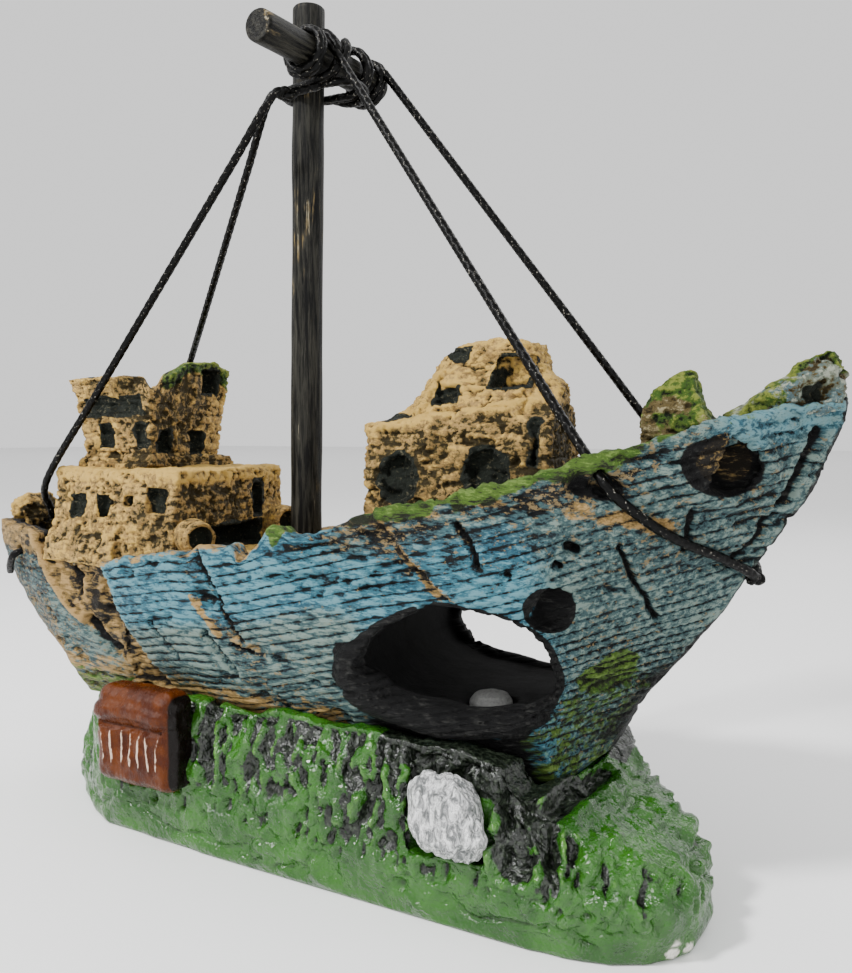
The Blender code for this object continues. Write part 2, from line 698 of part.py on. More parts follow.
def build():
    for old in list(bpy.data.objects):
        bpy.data.objects.remove(old)
    reef()
    hull()
    main_deck()
    treasure_chest()
    silver_rock()
    stern_castle_lower()
    stern_castle_upper()
    deckhouse()
    barrel("deck_cask_starboard", (-18.8, -11.9, 36.5), 2.2, 4.6)
    barrel("deck_cask_port", (-21.6, 8.6, 36.9), 2.2, 4.6)
    bow_stump()
    bow_crest()
    taffrail()
    mast()
    yard()
    yard_lashing()
    yard_knot("yard_knot_near", -6.4)
    yard_knot("yard_knot_far", 6.4)
    fore_stay("fore_stay_near", (-1.2, -4.7, 93.2), -1)
    fore_stay("fore_stay_far", (-0.4, 7.4, 90.6), 1)
    aft_stay("aft_stay_near", (-7.6, -9.4, 89.0), (-37.6, -11.0, 53.8), -1)
    aft_stay("aft_stay_far", (-9.6, -8.0, 89.0), (-41.9, 10.9, 58.9), 1)
    end_knot("stem_knot", (47.1, 0.0, 34.8), 0.9)
    air_channel()
    air_inlet()
    air_stone()


build()
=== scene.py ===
"""Looks of the shipwreck ornament: cast and painted resin, stained dowel and waxed braid.

Lengths in the helpers are in millimetres, in the part's own frame: +X to the bow, +Y to port, +Z up.
"""

import math

import bmesh
import bpy
import numpy as np
from mathutils import Matrix, Vector


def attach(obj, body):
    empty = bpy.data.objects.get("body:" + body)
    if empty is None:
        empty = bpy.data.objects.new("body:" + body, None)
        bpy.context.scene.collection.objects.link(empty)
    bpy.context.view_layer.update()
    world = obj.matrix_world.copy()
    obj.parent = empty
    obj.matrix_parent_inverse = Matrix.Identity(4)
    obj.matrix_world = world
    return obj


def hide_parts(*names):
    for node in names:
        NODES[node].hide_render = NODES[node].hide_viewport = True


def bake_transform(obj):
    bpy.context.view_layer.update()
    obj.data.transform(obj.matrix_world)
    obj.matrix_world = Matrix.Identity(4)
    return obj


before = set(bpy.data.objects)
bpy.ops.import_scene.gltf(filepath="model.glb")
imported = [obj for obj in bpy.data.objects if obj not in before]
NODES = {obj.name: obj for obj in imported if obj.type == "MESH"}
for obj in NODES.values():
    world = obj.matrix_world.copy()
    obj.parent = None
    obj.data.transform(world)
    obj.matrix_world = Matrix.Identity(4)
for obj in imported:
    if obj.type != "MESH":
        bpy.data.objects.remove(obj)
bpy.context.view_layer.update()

MM = 0.001
HULL_VOXEL = 0.33
FINE_VOXEL = 0.22
REEF_VOXEL = 0.34

# The hull's lines: x, keel height, half beam at the rail, rail height, fullness
STATIONS = np.array(
    (
        (-65.8, 33.6, 4.2, 35.8, 1.5), (-64.6, 28.6, 6.0, 36.4, 1.7), (-61.0, 21.0, 8.4, 36.4, 2.0),
        (-56.0, 15.4, 10.4, 36.2, 2.2), (-51.0, 12.4, 11.8, 36.0, 2.3), (-46.0, 12.0, 12.8, 35.6, 2.3),
        (-38.0, 12.0, 13.6, 34.4, 2.3), (-31.2, 12.0, 14.0, 33.2, 2.3), (-30.6, 12.0, 17.2, 33.2, 2.3),
        (-24.0, 12.0, 18.4, 34.2, 2.4), (-16.0, 12.0, 19.2, 35.6, 2.6), (-8.0, 12.0, 19.6, 36.2, 2.8),
        (2.0, 12.0, 19.6, 38.6, 2.8), (12.0, 12.0, 19.2, 41.0, 2.7), (21.0, 12.0, 18.4, 42.8, 2.5),
        (28.0, 12.0, 17.2, 44.8, 2.3), (31.5, 15.2, 16.4, 46.0, 2.1), (35.0, 21.4, 15.2, 47.3, 1.9),
        (39.8, 26.9, 12.8, 48.8, 1.7), (44.0, 32.4, 10.2, 50.2, 1.5), (48.0, 38.2, 7.2, 51.4, 1.35),
        (51.5, 43.6, 4.4, 52.2, 1.25), (54.5, 50.6, 1.4, 52.8, 1.1),
    )
)
HOLD = (17.0, 25.9, 12.7, 6.3)  # the hold's middle x and z, half length and half height
BREAK, CREASE = (-30.3, 33.2, 0.62), (13.1, 40.7, 1.07)  # x and z of a place on each, and its slope
CHEST_AFT, CHEST_X = -26.9, -20.7  # the chest's after end and its middle
HAWSE, PORTHOLE = (44.9, 46.6), (30.3, 32.4)  # x and z of their middles
MAST_FOOT, MAST_TOP = Vector((-10.55, 0.0, 26.0)), Vector((-9.5, 0.0, 102.8))
MAST_R, YARD_R, CORD_R, GAP = 2.0, 1.9, 0.5, 0.35
YARD_Z = 94.9


# Repeatable noise ------------------------------------------------------------------------


def ramp(low, high, value):
    """0 at low and 1 at high, smooth between; low may be the larger."""
    t = np.clip((value - low) / (high - low), 0.0, 1.0)
    return t * t * (3.0 - 2.0 * t)


def span(value, start, full, waning, end):
    """1 from full to waning, and 0 before start and past end."""
    return ramp(start, full, value) * ramp(end, waning, value)


def lattice(i, j, k, seed):
    """Repeatable numbers from 0 to 1 at whole-number places."""
    n = i * 374761393 + j * 668265263 + k * 1274126177 + seed * 144269504
    n = (n ^ (n >> 13)) & 0x7FFFFFFF
    n = (n * 1103515245 + 12345) & 0x7FFFFFFF
    n = ((n ^ (n >> 15)) * 22695477) & 0x7FFFFFFF
    return ((n >> 4) & 0xFFFFF) / 0xFFFFF


def noise(p, size, seed=0):
    """Smooth noise from -1 to 1 with lumps about size across."""
    q = p / size
    cell = np.floor(q).astype(np.int64)
    f = q - cell
    f = f * f * f * (f * (f * 6 - 15) + 10)
    total = np.zeros(len(p))
    for corner in range(8):
        d = (corner & 1, corner >> 1 & 1, corner >> 2 & 1)
        weight = np.ones(len(p))
        for axis in range(3):
            weight *= f[:, axis] if d[axis] else 1.0 - f[:, axis]
        total += weight * lattice(cell[:, 0] + d[0], cell[:, 1] + d[1], cell[:, 2] + d[2], seed)
    return total * 2.0 - 1.0


def layers(p, size, count, seed=0, gain=0.55):
    """Noise in count octaves, from -1 to 1."""
    total, share, weight = np.zeros(len(p)), 0.0, 1.0
    for i in range(count):
        total += weight * noise(p, size / 2**i, seed + 31 * i)
        share += weight
        weight *= gain
    return total / share


def pits(p, size, share, seed=0, axes=(0, 1, 2)):
    """Round pits about scattered points, 1 at their middle and 0 outside, at a share of them."""
    q = p / size
    cell = np.floor(q).astype(np.int64)
    near = np.full(len(p), 9.0)
    own = np.zeros(len(p))
    for step in range(27):
        d = (step % 3 - 1, step // 3 % 3 - 1, step // 9 - 1)
        c = [cell[:, i] + d[i] for i in range(3)]
        away = sum((c[i] + lattice(*c, seed + 7 * i + 1) - q[:, i]) ** 2 for i in axes)
        closer = away < near
        own = np.where(closer, lattice(*c, seed + 99), own)
        near = np.where(closer, away, near)
    return np.where(own < share, ramp(0.42, 0.12, np.sqrt(near)), 0.0)


def to_line(u, v, start, end):
    """The nearest place on the line from start to end, from 0 to 1, and the distance to it."""
    d = np.subtract(end, start)
    t = np.clip(((u - start[0]) * d[0] + (v - start[1]) * d[1]) / (d @ d), 0.0, 1.0)
    return t, np.hypot(u - start[0] - t * d[0], v - start[1] - t * d[1])


def stroke(u, v, start, end, width):
    """1 on the line from start to end, 0 past its width."""
    return ramp(width, width * 0.25, to_line(u, v, start, end)[1])


def marks(u, v, rows):
    """The sum of strokes, each given by its start, end, width and amount."""
    return sum(amount * stroke(u, v, start, end, width) for start, end, width, amount in rows)


def hull_lines(x):
    """Keel height, half beam, rail height and fullness at x."""
    return [np.interp(x, STATIONS[:, 0], STATIONS[:, i]) for i in (1, 2, 3, 4)]


def hull_half(x, z):
    """Half width of the hull at x and height z."""
    keel, beam, rail, fullness = hull_lines(x)
    share = np.clip((z - keel) / (rail - keel), 0.0, 1.0)
    flat = np.where(keel <= 12.01, 0.42, 0.06) * beam
    return flat + (beam - flat) * (1.0 - (1.0 - share) ** fullness)


# Meshes ----------------------------------------------------------------------------------


def add(name, data):
    """A new object in the scene."""
    piece = bpy.data.objects.new(name, data)
    bpy.context.scene.collection.objects.link(piece)
    return piece


def from_points(name, points, faces):
    """A smooth mesh from points in mm, its faces turned outwards."""
    data = bpy.data.meshes.new(name)
    data.from_pydata([tuple(c * MM for c in p) for p in points], [], faces)
    data.validate()
    shape = bmesh.new()
    shape.from_mesh(data)
    bmesh.ops.recalc_face_normals(shape, faces=shape.faces)
    shape.to_mesh(data)
    shape.free()
    data.shade_smooth()
    return data


def loft(rings):
    """Points and faces of a closed body through rings that have the same number of points."""
    count = len(rings[0])
    points = [point for ring in rings for point in ring]
    faces = []
    for first in range(0, len(points) - count, count):
        for k in range(count):
            a, b = first + k, first + (k + 1) % count
            faces.append((a, b, b + count, a + count))
    faces += [tuple(range(count)), tuple(range(len(points) - count, len(points)))]
    return points, faces


def slab(low, high, taper=0.0):
    """A box's points and faces, narrowed by taper at its top."""
    rings = []
    for z, cut in ((low[2], 0.0), (high[2], taper)):
        x0, y0, x1, y1 = low[0] + cut, low[1] + cut, high[0] - cut, high[1] - cut
        rings.append([(x0, y0, z), (x1, y0, z), (x1, y1, z), (x0, y1, z)])
    return loft(rings)


def tube(path, radius_at, sides):
    """A round tube through the path's points, closed at both ends; radius_at(step, angle)."""
    points = [Vector(p) for p in path]
    tangent = (points[1] - points[0]).normalized()
    across = tangent.orthogonal().normalized()
    rings = []
    for i, centre in enumerate(points):
        ahead = (points[min(i + 1, len(points) - 1)] - points[max(i - 1, 0)]).normalized()
        across = (tangent.rotation_difference(ahead) @ across).normalized()
        tangent = ahead
        other = tangent.cross(across)
        ring = []
        for k in range(sides):
            angle = math.tau * k / sides
            out = across * math.cos(angle) + other * math.sin(angle)
            ring.append(centre + out * radius_at(i, angle))
        rings.append(ring)
    return loft(rings)


def fused(name, sources, voxel, relax):
    """One closed body round all the source meshes, with an even skin voxel across."""
    shape = bmesh.new()
    for data in sources:
        shape.from_mesh(data)
    data = bpy.data.meshes.new(name)
    shape.to_mesh(data)
    shape.free()
    piece = add(name, data)
    step = piece.modifiers.new("skin", "REMESH")
    step.mode = "VOXEL"
    step.voxel_size = voxel * MM
    soften = piece.modifiers.new("relax", "SMOOTH")
    soften.factor = 0.5
    soften.iterations = relax
    graph = bpy.context.evaluated_depsgraph_get()
    done = bpy.data.meshes.new_from_object(piece.evaluated_get(graph))
    piece.modifiers.clear()
    piece.data = done
    return piece


def read_vectors(vertices, field):
    values = np.empty(len(vertices) * 3, np.float32)
    vertices.foreach_get(field, values)
    return values.reshape(-1, 3).astype(float)


def skin(piece):
    """The piece's points, in mm, and its normals."""
    return read_vectors(piece.data.vertices, "co") / MM, read_vectors(piece.data.vertex_normals, "vector")


def move_to(piece, p):
    piece.data.vertices.foreach_set("co", (p * MM).astype(np.float32).ravel())
    piece.data.update()


def paint_mask(piece, name, values):
    attribute = piece.data.attributes.new(name, "FLOAT", "POINT")
    attribute.data.foreach_set("value", values.astype(np.float32))


def hollows(piece, p, n):
    """How far each vertex lies below (positive) or above its neighbours, in mm, a little smoothed."""
    edges = np.empty(len(piece.data.edges) * 2, np.int32)
    piece.data.edges.foreach_get("vertices", edges)
    a, b = edges.reshape(-1, 2).T
    count = np.maximum(np.bincount(a, minlength=len(p)) + np.bincount(b, minlength=len(p)), 1)

    def around(values):
        return (np.bincount(a, values[b], len(p)) + np.bincount(b, values[a], len(p))) / count

    smooth = p
    for _ in range(4):
        smooth = np.stack([around(smooth[:, i]) for i in range(3)], 1)
    depth = ((smooth - p) * n).sum(1)
    return 0.5 * depth + 0.5 * around(depth)


def finish_skin(piece, p, masks, gain):
    """Put the points in place, store the paint masks and add the hollow and ridge masks."""
    move_to(piece, p)
    piece.data.shade_smooth()
    depth = hollows(piece, p, skin(piece)[1]) * gain
    paint_mask(piece, "hollow", np.clip(depth, 0.0, 1.0))
    paint_mask(piece, "ridge", np.clip(-depth, 0.0, 1.0))
    for name, values in masks.items():
        paint_mask(piece, name, values)


def settle(piece, paint, node, body="wreck"):
    """Paint the piece and put it in its node's place, on its body."""
    paint.put_on(piece)
    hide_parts(node)
    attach(piece, body)


# Materials -------------------------------------------------------------------------------


def rgb(r, g, b):
    """A colour given as it looks on screen, from 0 to 255."""
    return tuple(max(c / 255.0, 0.02) ** 2.2 for c in (r, g, b))


class Paint:
    """Short ways to build one material's nodes."""

    def __init__(self, name):
        self.skin = bpy.data.materials.new(name)
        self.skin.use_nodes = True
        self.tree = self.skin.node_tree
        self.shader = self.tree.nodes["Principled BSDF"]
        self.place = self.tree.nodes.new("ShaderNodeTexCoord").outputs["Object"]

    def link(self, source, target):
        if isinstance(source, bpy.types.NodeSocket):
            self.tree.links.new(source, target)
        else:
            target.default_value = source
        return target

    def mask(self, name):
        node = self.tree.nodes.new("ShaderNodeAttribute")
        node.attribute_name = name
        return node.outputs["Fac"]

    def stretched(self, scale):
        """The place, scaled by three numbers per metre."""
        node = self.tree.nodes.new("ShaderNodeVectorMath")
        node.operation = "MULTIPLY"
        self.link(self.place, node.inputs[0])
        node.inputs[1].default_value = scale
        return node.outputs[0]

    def noise(self, size, detail=4.0, rough=0.6, stretch=(1, 1, 1), warp=0.0):
        """Noise from 0 to 1 with features about size mm across."""
        node = self.tree.nodes.new("ShaderNodeTexNoise")
        self.link(self.stretched([s / (size * MM) for s in stretch]), node.inputs["Vector"])
        node.inputs["Scale"].default_value = 1.0
        node.inputs["Detail"].default_value = detail
        node.inputs["Roughness"].default_value = rough
        node.inputs["Distortion"].default_value = warp
        return node.outputs["Fac"]

    def sum(self, *terms):
        """Add (value, weight) pairs and plain numbers."""
        total = 0.0
        for term in terms:
            if isinstance(term, tuple):
                value, weight = term
                node = self.tree.nodes.new("ShaderNodeMath")
                node.operation = "MULTIPLY_ADD"
                self.link(value, node.inputs[0])
                self.link(weight, node.inputs[1])
                self.link(total, node.inputs[2])
                total = node.outputs[0]
            else:
                total = self.math("ADD", total, term)
        return total

    def math(self, operation, a, b=0.0):
        node = self.tree.nodes.new("ShaderNodeMath")
        node.operation = operation
        self.link(a, node.inputs[0])
        self.link(b, node.inputs[1])
        return node.outputs[0]

    def step(self, value, low, high):
        """0 below low, 1 above high, smooth between; low may be the larger."""
        node = self.tree.nodes.new("ShaderNodeMapRange")
        node.interpolation_type = "SMOOTHSTEP"
        self.link(value, node.inputs["Value"])
        node.inputs["From Min"].default_value = low
        node.inputs["From Max"].default_value = high
        return node.outputs["Result"]

    def mix(self, share, a, b):
        node = self.tree.nodes.new("ShaderNodeMix")
        node.data_type = "RGBA"
        self.link(share, node.inputs["Factor"])
        for colour, slot in ((a, 6), (b, 7)):
            if isinstance(colour, tuple):
                colour = (*colour, 1.0)
            self.link(colour, node.inputs[slot])
        return node.outputs[2]

    def part(self, value, share):
        return self.math("MULTIPLY", value, share)

    def fade(self, value, low, high, a, b):
        """Colour a where value is below low, b where it is above high."""
        return self.mix(self.step(value, low, high), a, b)

    def finish(self, colour, roughness, height, depth, specular=0.5):
        """Set the colours, the roughness, a relief of height times depth mm, and the gloss."""
        self.link(colour, self.shader.inputs["Base Color"])
        self.link(roughness, self.shader.inputs["Roughness"])
        self.shader.inputs["Specular IOR Level"].default_value = specular
        node = self.tree.nodes.new("ShaderNodeBump")
        node.inputs["Distance"].default_value = depth * MM
        node.inputs["Strength"].default_value = 1.0
        self.link(height, node.inputs["Height"])
        self.link(node.outputs[0], self.shader.inputs["Normal"])
        return self

    def put_on(self, piece):
        piece.data.materials.clear()
        piece.data.materials.append(self.skin)


def speckle(m, size, stretch, density, level=0.6):
    """Ragged specks about size mm across, more of them where density is high."""
    grain = m.noise(size, 5, 0.72, stretch)
    return m.step(m.sum((grain, 1.0), (density, 0.1)), level - 0.012, level + 0.022)


def washed(m, height, level, tones):
    """Wash settled in the low places: its four tones, from black to the rubbed high places."""
    colour = m.mix(m.step(height, level - 0.03, level + 0.02), tones[0], tones[1])
    colour = m.mix(m.step(height, level + 0.015, level + 0.06), colour, tones[2])
    return m.mix(m.step(height, level + 0.1, level + 0.2), colour, tones[3])


def hull_paint():
    """Blue boards under a black wash, rubbed back to ochre, with moss along the rail."""
    m = Paint("hull_paint")
    fine = m.noise(0.36, 6, 0.72)
    broad = m.noise(5.0, 3, 0.6, (0.6, 1, 1))
    ragged = m.noise(1.0, 5, 0.72, (0.34, 1, 1))
    patch = m.noise(1.5, 6, 0.75, (0.4, 1, 1))
    grain = m.noise(0.5, 6, 0.75, (0.24, 1, 1))
    worn = m.mask("worn")
    drab = m.mask("drab")
    board = m.math("FRACT", m.mask("plank"))
    edge = m.math("ABSOLUTE", m.math("SUBTRACT", board, 0.5))  # 0.5 in the seam, 0 mid-board
    seam = m.step(m.sum((edge, 1.0), (ragged, 0.35)), 0.53, 0.68)
    seam = m.math("MULTIPLY", seam, m.mask("boarded"))
    height = m.sum((grain, 1.0), (patch, 0.25), (seam, -0.17), (m.mask("hollow"), -0.3), 0.05)
    height = m.sum((height, 1.0), (worn, -0.085), (m.mask("ridge"), 0.12))
    blue = m.fade(broad, 0.35, 0.65, rgb(36, 80, 98), rgb(60, 108, 122))
    dull = m.step(m.sum((drab, 0.8), (ragged, 0.6)), 0.45, 0.9)
    blue = m.mix(dull, blue, rgb(62, 86, 88))
    pale = m.mix(dull, rgb(100, 146, 156), rgb(120, 138, 130))
    colour = washed(m, height, 0.535, (rgb(18, 21, 22), rgb(28, 46, 54), blue, pale))
    rubbed = speckle(m, 0.5, (0.5, 1, 1), m.sum((drab, 0.4), (worn, 0.55)), 0.66)
    colour = m.mix(m.part(rubbed, 0.8), colour, rgb(140, 120, 84))
    tan_low, tan_high = rgb(128, 104, 62), rgb(174, 142, 92)
    bare = washed(m, height, 0.5, (rgb(28, 24, 18), rgb(84, 72, 50), tan_low, tan_high))
    tan = m.step(m.sum((m.mask("tan"), 0.5), (patch, 1.0)), 0.68, 0.75)
    colour = m.mix(tan, colour, bare)
    mossy = m.step(m.sum((m.mask("moss"), 0.7), (patch, 0.9)), 0.8, 0.9)
    leaf = m.fade(broad, 0.4, 0.6, rgb(50, 80, 24), rgb(72, 98, 36))
    green = washed(m, height, 0.57, (rgb(30, 34, 20), rgb(58, 70, 36), leaf, rgb(106, 130, 64)))
    colour = m.mix(mossy, colour, green)
    # Dark: paint in the openings, cracks and recesses, and painted shade low on the hull under the hold.
    dark = m.step(m.sum((m.mask("dark"), 0.8), (ragged, 0.6)), 0.6, 0.78)
    inner = m.fade(grain, 0.52, 0.66, rgb(10, 10, 11), rgb(50, 50, 48))
    colour = m.mix(dark, colour, inner)
    colour = m.mix(m.mask("void"), colour, rgb(3, 3, 4))
    rough = m.sum(0.4, (fine, 0.3), (m.mask("void"), 0.3))
    return m.finish(colour, rough, m.sum((height, 2.2), (fine, 0.4)), 0.3, 0.2)


def ochre_paint(name, low=(148, 119, 72), high=(177, 144, 90), light=(222, 182, 98)):
    """Ochre resin with a black wash in every hollow."""
    m = Paint(name)
    fine = m.noise(0.36, 6, 0.72)
    ragged = m.noise(0.9, 5, 0.72)
    broad = m.noise(4.0, 3, 0.6)
    grain = m.noise(0.6, 7, 0.72, (1, 1, 1.25), 0.25)
    coarse = m.noise(1.7, 4, 0.6, (1, 1, 1.4))
    # The grime mask lowers the height and so spreads the wash: grime at random, painted shade on walls,
    # forward faces and under the eaves, and painted light on tops and ledges.
    grime_light_and_shade = m.mask("grime_light_and_shade")
    height = m.sum((grain, 0.8), (coarse, 0.55), (m.mask("hollow"), -0.3), (m.mask("ridge"), 0.14))
    height = m.sum((height, 1.0), (grime_light_and_shade, -0.12))
    base = m.fade(broad, 0.38, 0.62, rgb(*low), rgb(*high))
    colour = washed(m, height, 0.56, (rgb(58, 50, 30), rgb(104, 90, 54), base, rgb(*light)))
    leaf = m.fade(broad, 0.4, 0.6, rgb(62, 90, 32), rgb(94, 108, 44))
    green = washed(m, height, 0.55, (rgb(22, 30, 14), rgb(56, 74, 34), leaf, rgb(130, 140, 62)))
    mossy = m.step(m.sum((m.mask("moss"), 0.7), (ragged, 0.9)), 0.78, 0.92)
    colour = m.mix(mossy, colour, green)
    dark = m.step(m.sum((m.mask("dark"), 0.9), (ragged, 0.5)), 0.6, 0.75)
    glint = m.step(grain, 0.57, 0.64)
    colour = m.mix(dark, colour, m.mix(glint, rgb(36, 40, 34), rgb(104, 100, 80)))
    return m.finish(colour, m.sum(0.45, (fine, 0.3)), m.sum((height, 2.6), (fine, 0.4)), 0.42, 0.2)


def reef_paint():
    """Glossy green over cast rock, dark grey in its pits, and painted shade in dark grey under the ship and
    its bow.
    """
    m = Paint("reef_paint")
    fine = m.noise(0.5, 5, 0.65)
    broad = m.noise(6.0, 3, 0.55)
    ragged = m.noise(1.2, 5, 0.7)
    base = m.fade(broad, 0.35, 0.65, rgb(30, 70, 14), rgb(46, 92, 26))
    proud = m.step(m.sum((m.mask("ridge"), 0.6), (fine, 0.6)), 0.5, 1.0)
    base = m.mix(m.part(proud, 0.6), base, rgb(96, 146, 62))
    shade = m.step(m.sum((m.mask("hollow"), 0.9), (fine, 0.4)), 0.35, 0.8)
    colour = m.mix(m.part(shade, 0.75), base, rgb(24, 44, 18))
    # Dark grey: the pits and crevices, and painted shade where the rock lies under the ship and its bow.
    dark = m.step(m.sum((m.mask("dark"), 0.9), (ragged, 0.7)), 0.68, 0.82)
    stone = m.fade(fine, 0.45, 0.7, rgb(18, 23, 17), rgb(54, 62, 50))
    colour = m.mix(dark, colour, stone)
    colour = m.mix(m.mask("chip"), colour, rgb(214, 210, 200))
    relief = m.sum((fine, 0.15), (m.noise(1.3, 3, 0.6), 1.0), (m.noise(2.8, 3, 0.6), 1.6))
    return m.finish(colour, m.sum(0.04, (fine, 0.16), (dark, 0.2)), relief, 0.5)


def chest_paint():
    """Glossy red-brown: pale as painted highlight on its bars and as wear on its edges, dark in its hollows,
    and black as painted shade at its fore corner.
    """
    m = Paint("chest_paint")
    fine = m.noise(0.45, 5, 0.65, (1, 1, 0.5))
    broad = m.noise(2.5, 4, 0.65)
    base = m.fade(broad, 0.35, 0.65, rgb(60, 26, 2), rgb(84, 42, 8))
    # Pale: painted highlights on the bars, where the glint mask is, and wear on the raised edges.
    worn = m.step(m.sum((m.mask("glint"), 0.5), (m.mask("ridge"), 0.3), (fine, 0.8)), 0.72, 0.86)
    colour = m.mix(m.part(worn, 0.8), base, rgb(224, 196, 176))
    low = m.step(m.sum((m.mask("hollow"), 1.0), (fine, 0.3)), 0.4, 0.8)
    colour = m.mix(low, colour, rgb(44, 20, 14))
    shade = m.step(m.sum((m.mask("shade"), 0.8), (broad, 0.6)), 0.6, 0.9)
    colour = m.mix(shade, colour, rgb(18, 12, 9))
    return m.finish(colour, m.sum(0.16, (fine, 0.2)), m.sum((fine, 0.7), (broad, 0.6)), 0.22, 0.16)


def silver_paint():
    """Silver brushed over grey stone."""
    m = Paint("silver_paint")
    fine = m.noise(0.6, 6, 0.75, (1, 1, 0.5), 0.8)
    base = m.fade(fine, 0.4, 0.6, (0.17, 0.18, 0.18), (0.98, 0.98, 0.98))
    low = m.step(m.sum((m.mask("hollow"), 1.0), (fine, 0.6)), 0.4, 0.8)
    colour = m.mix(low, base, rgb(58, 62, 66))
    specks = speckle(m, 0.7, (1, 1, 0.6), m.mask("hollow"), 0.65)
    colour = m.mix(m.part(specks, 0.7), colour, rgb(60, 66, 58))
    m.shader.inputs["Metallic"].default_value = 0.3
    relief = m.sum((fine, 1.0), (m.noise(1.5, 4, 0.6, (1, 1, 0.5)), 3.0))
    return m.finish(colour, m.sum(0.16, (fine, 0.2)), relief, 0.5)


def wood_paint(name, lengthwise):
    """Black-stained dowel: long grain, brown where the stain is thin, pale scuffs."""
    m = Paint(name)
    along, patchy = ([share if i == lengthwise else 1.0 for i in range(3)] for share in (0.07, 0.3))
    grain = m.noise(0.45, 6, 0.7, along, 0.4)
    broad = m.noise(3.4, 4, 0.65, patchy)
    base = m.fade(grain, 0.4, 0.65, rgb(8, 8, 7), rgb(50, 49, 44))
    thin = m.math("MULTIPLY", m.step(grain, 0.5, 0.62), m.step(broad, 0.55, 0.64))
    colour = m.mix(m.part(thin, 0.8), base, rgb(122, 104, 68))
    scuff = m.step(m.sum((m.noise(0.9, 5, 0.75, along), 1.0), (broad, 0.4)), 0.84, 0.9)
    colour = m.mix(m.part(scuff, 0.6), colour, rgb(158, 150, 128))
    return m.finish(colour, m.sum(0.3, (grain, 0.3)), m.sum((grain, 1.0), (broad, 0.5)), 0.16, 0.12)


def cord_paint():
    """Waxed black braid, with painted highlights where the strands stand proud: a lighter black, and pale
    flecks.
    """
    m = Paint("cord_paint")
    fine = m.noise(0.16, 4, 0.6)
    proud = m.mask("proud")
    # Painted highlights: a lighter black on the proud strands, and pale flecks where they stand highest.
    worn = m.step(m.sum((proud, 0.45), (m.noise(0.3, 4, 0.7), 1.0)), 0.99, 1.05)
    colour = m.mix(proud, rgb(2, 2, 2), rgb(12, 12, 11))
    colour = m.mix(m.part(worn, 0.8), colour, rgb(150, 146, 136))
    return m.finish(colour, m.sum(0.26, (fine, 0.2)), fine, 0.04, 0.1)


def plain_paint(name, size, low, high, roughness, depth):
    """One colour that shifts from low to high over noise size mm across."""
    m = Paint(name)
    shift = m.noise(size, 3, 0.5)
    return m.finish(m.mix(shift, rgb(*low), rgb(*high)), roughness, shift, depth)


# Cast pieces -----------------------------------------------------------------------------


def slope(z, at_x, at_z, forward):
    """The x at height z of an edge that runs forward by that much for each mm down."""
    return at_x + (at_z - z) * forward


def hold_share(x, y, z):
    """Less than 1 inside the hold, whose after end slants aft to port."""
    fore, aft = HOLD[0] + HOLD[2], HOLD[0] - HOLD[2] - 0.17 * y
    along = abs((x - (fore + aft) / 2) / ((fore - aft) / 2 + 0.2))
    return along**2.7 + abs((z - HOLD[1]) / (HOLD[3] + 0.2)) ** 2.7


# The torn lip round the hold on the near side: x, z and the thickness of its roll
LIP = np.array(
    (
        (17.0, 31.6, 0.2), (13.4, 29.8, 0.3), (10.8, 27.8, 0.5), (8.6, 25.8, 1.5),
        (8.6, 23.2, 2.2), (11.2, 21.0, 2.2), (15.4, 19.8, 1.9), (20.4, 19.4, 1.9),
        (25.0, 20.0, 1.8), (27.8, 21.4, 1.2), (29.4, 23.6, 0.5), (29.9, 26.0, 0.2),
    )
)


def lip_shift(x, side):
    """How far the port side's lip lies forward of the starboard side's, which is less than 0."""
    return np.where(side > 0, -6.2 * ramp(31.0, 8.0, x), 0.0)


def lip_distance(x, z, side):
    """Distance from the lip's roll, negative inside it, in mm."""
    u = x - lip_shift(x + 3.0, side)
    nearest = np.full(len(x), 99.0)
    for start, end in zip(LIP, LIP[1:]):
        t, away = to_line(u, z, start[:2], end[:2])
        nearest = np.minimum(nearest, away - (start[2] + (end[2] - start[2]) * t))
    return nearest


# Each crack or chip in the sides: start, end, half width and depth
GASHES = (
    ((-11.0, 35.4), (-7.6, 30.4), 0.5, 1.1), ((-8.4, 31.0), (-5.4, 26.0), 0.34, 0.7),
    ((-10.8, 26.2), (-7.8, 22.0), 0.8, 1.6), ((-7.0, 25.4), (-4.8, 24.6), 0.4, 0.7),
    ((22.4, 40.6), (24.8, 36.2), 0.42, 0.8), ((36.4, 38.6), (38.0, 30.8), 0.3, 0.8),
    ((-20.5, 27.0), (-16.6, 22.6), 0.26, 0.5), ((53.0, 49.4), (49.0, 42.6), 0.6, 1.0),
    ((48.4, 41.4), (44.6, 36.2), 0.4, 0.6), ((42.2, 42.0), (41.4, 38.0), 0.4, 0.5),
    ((32.6, 38.6), (33.1, 38.3), 0.7, 1.3), ((31.4, 36.9), (31.8, 36.7), 0.5, 0.9),
    ((27.0, 36.0), (27.3, 35.8), 0.5, 0.8), ((33.4, 44.4), (36.6, 43.8), 1.5, 0.9),
    ((-40.8, 34.6), (-38.8, 28.4), 1.0, 1.1), ((-37.6, 23.8), (-34.4, 20.6), 1.5, 1.6),
    ((-29.2, 24.2), (-25.4, 22.4), 0.8, 0.9), ((-33.0, 31.0), (-32.0, 27.0), 0.6, 0.6),
)


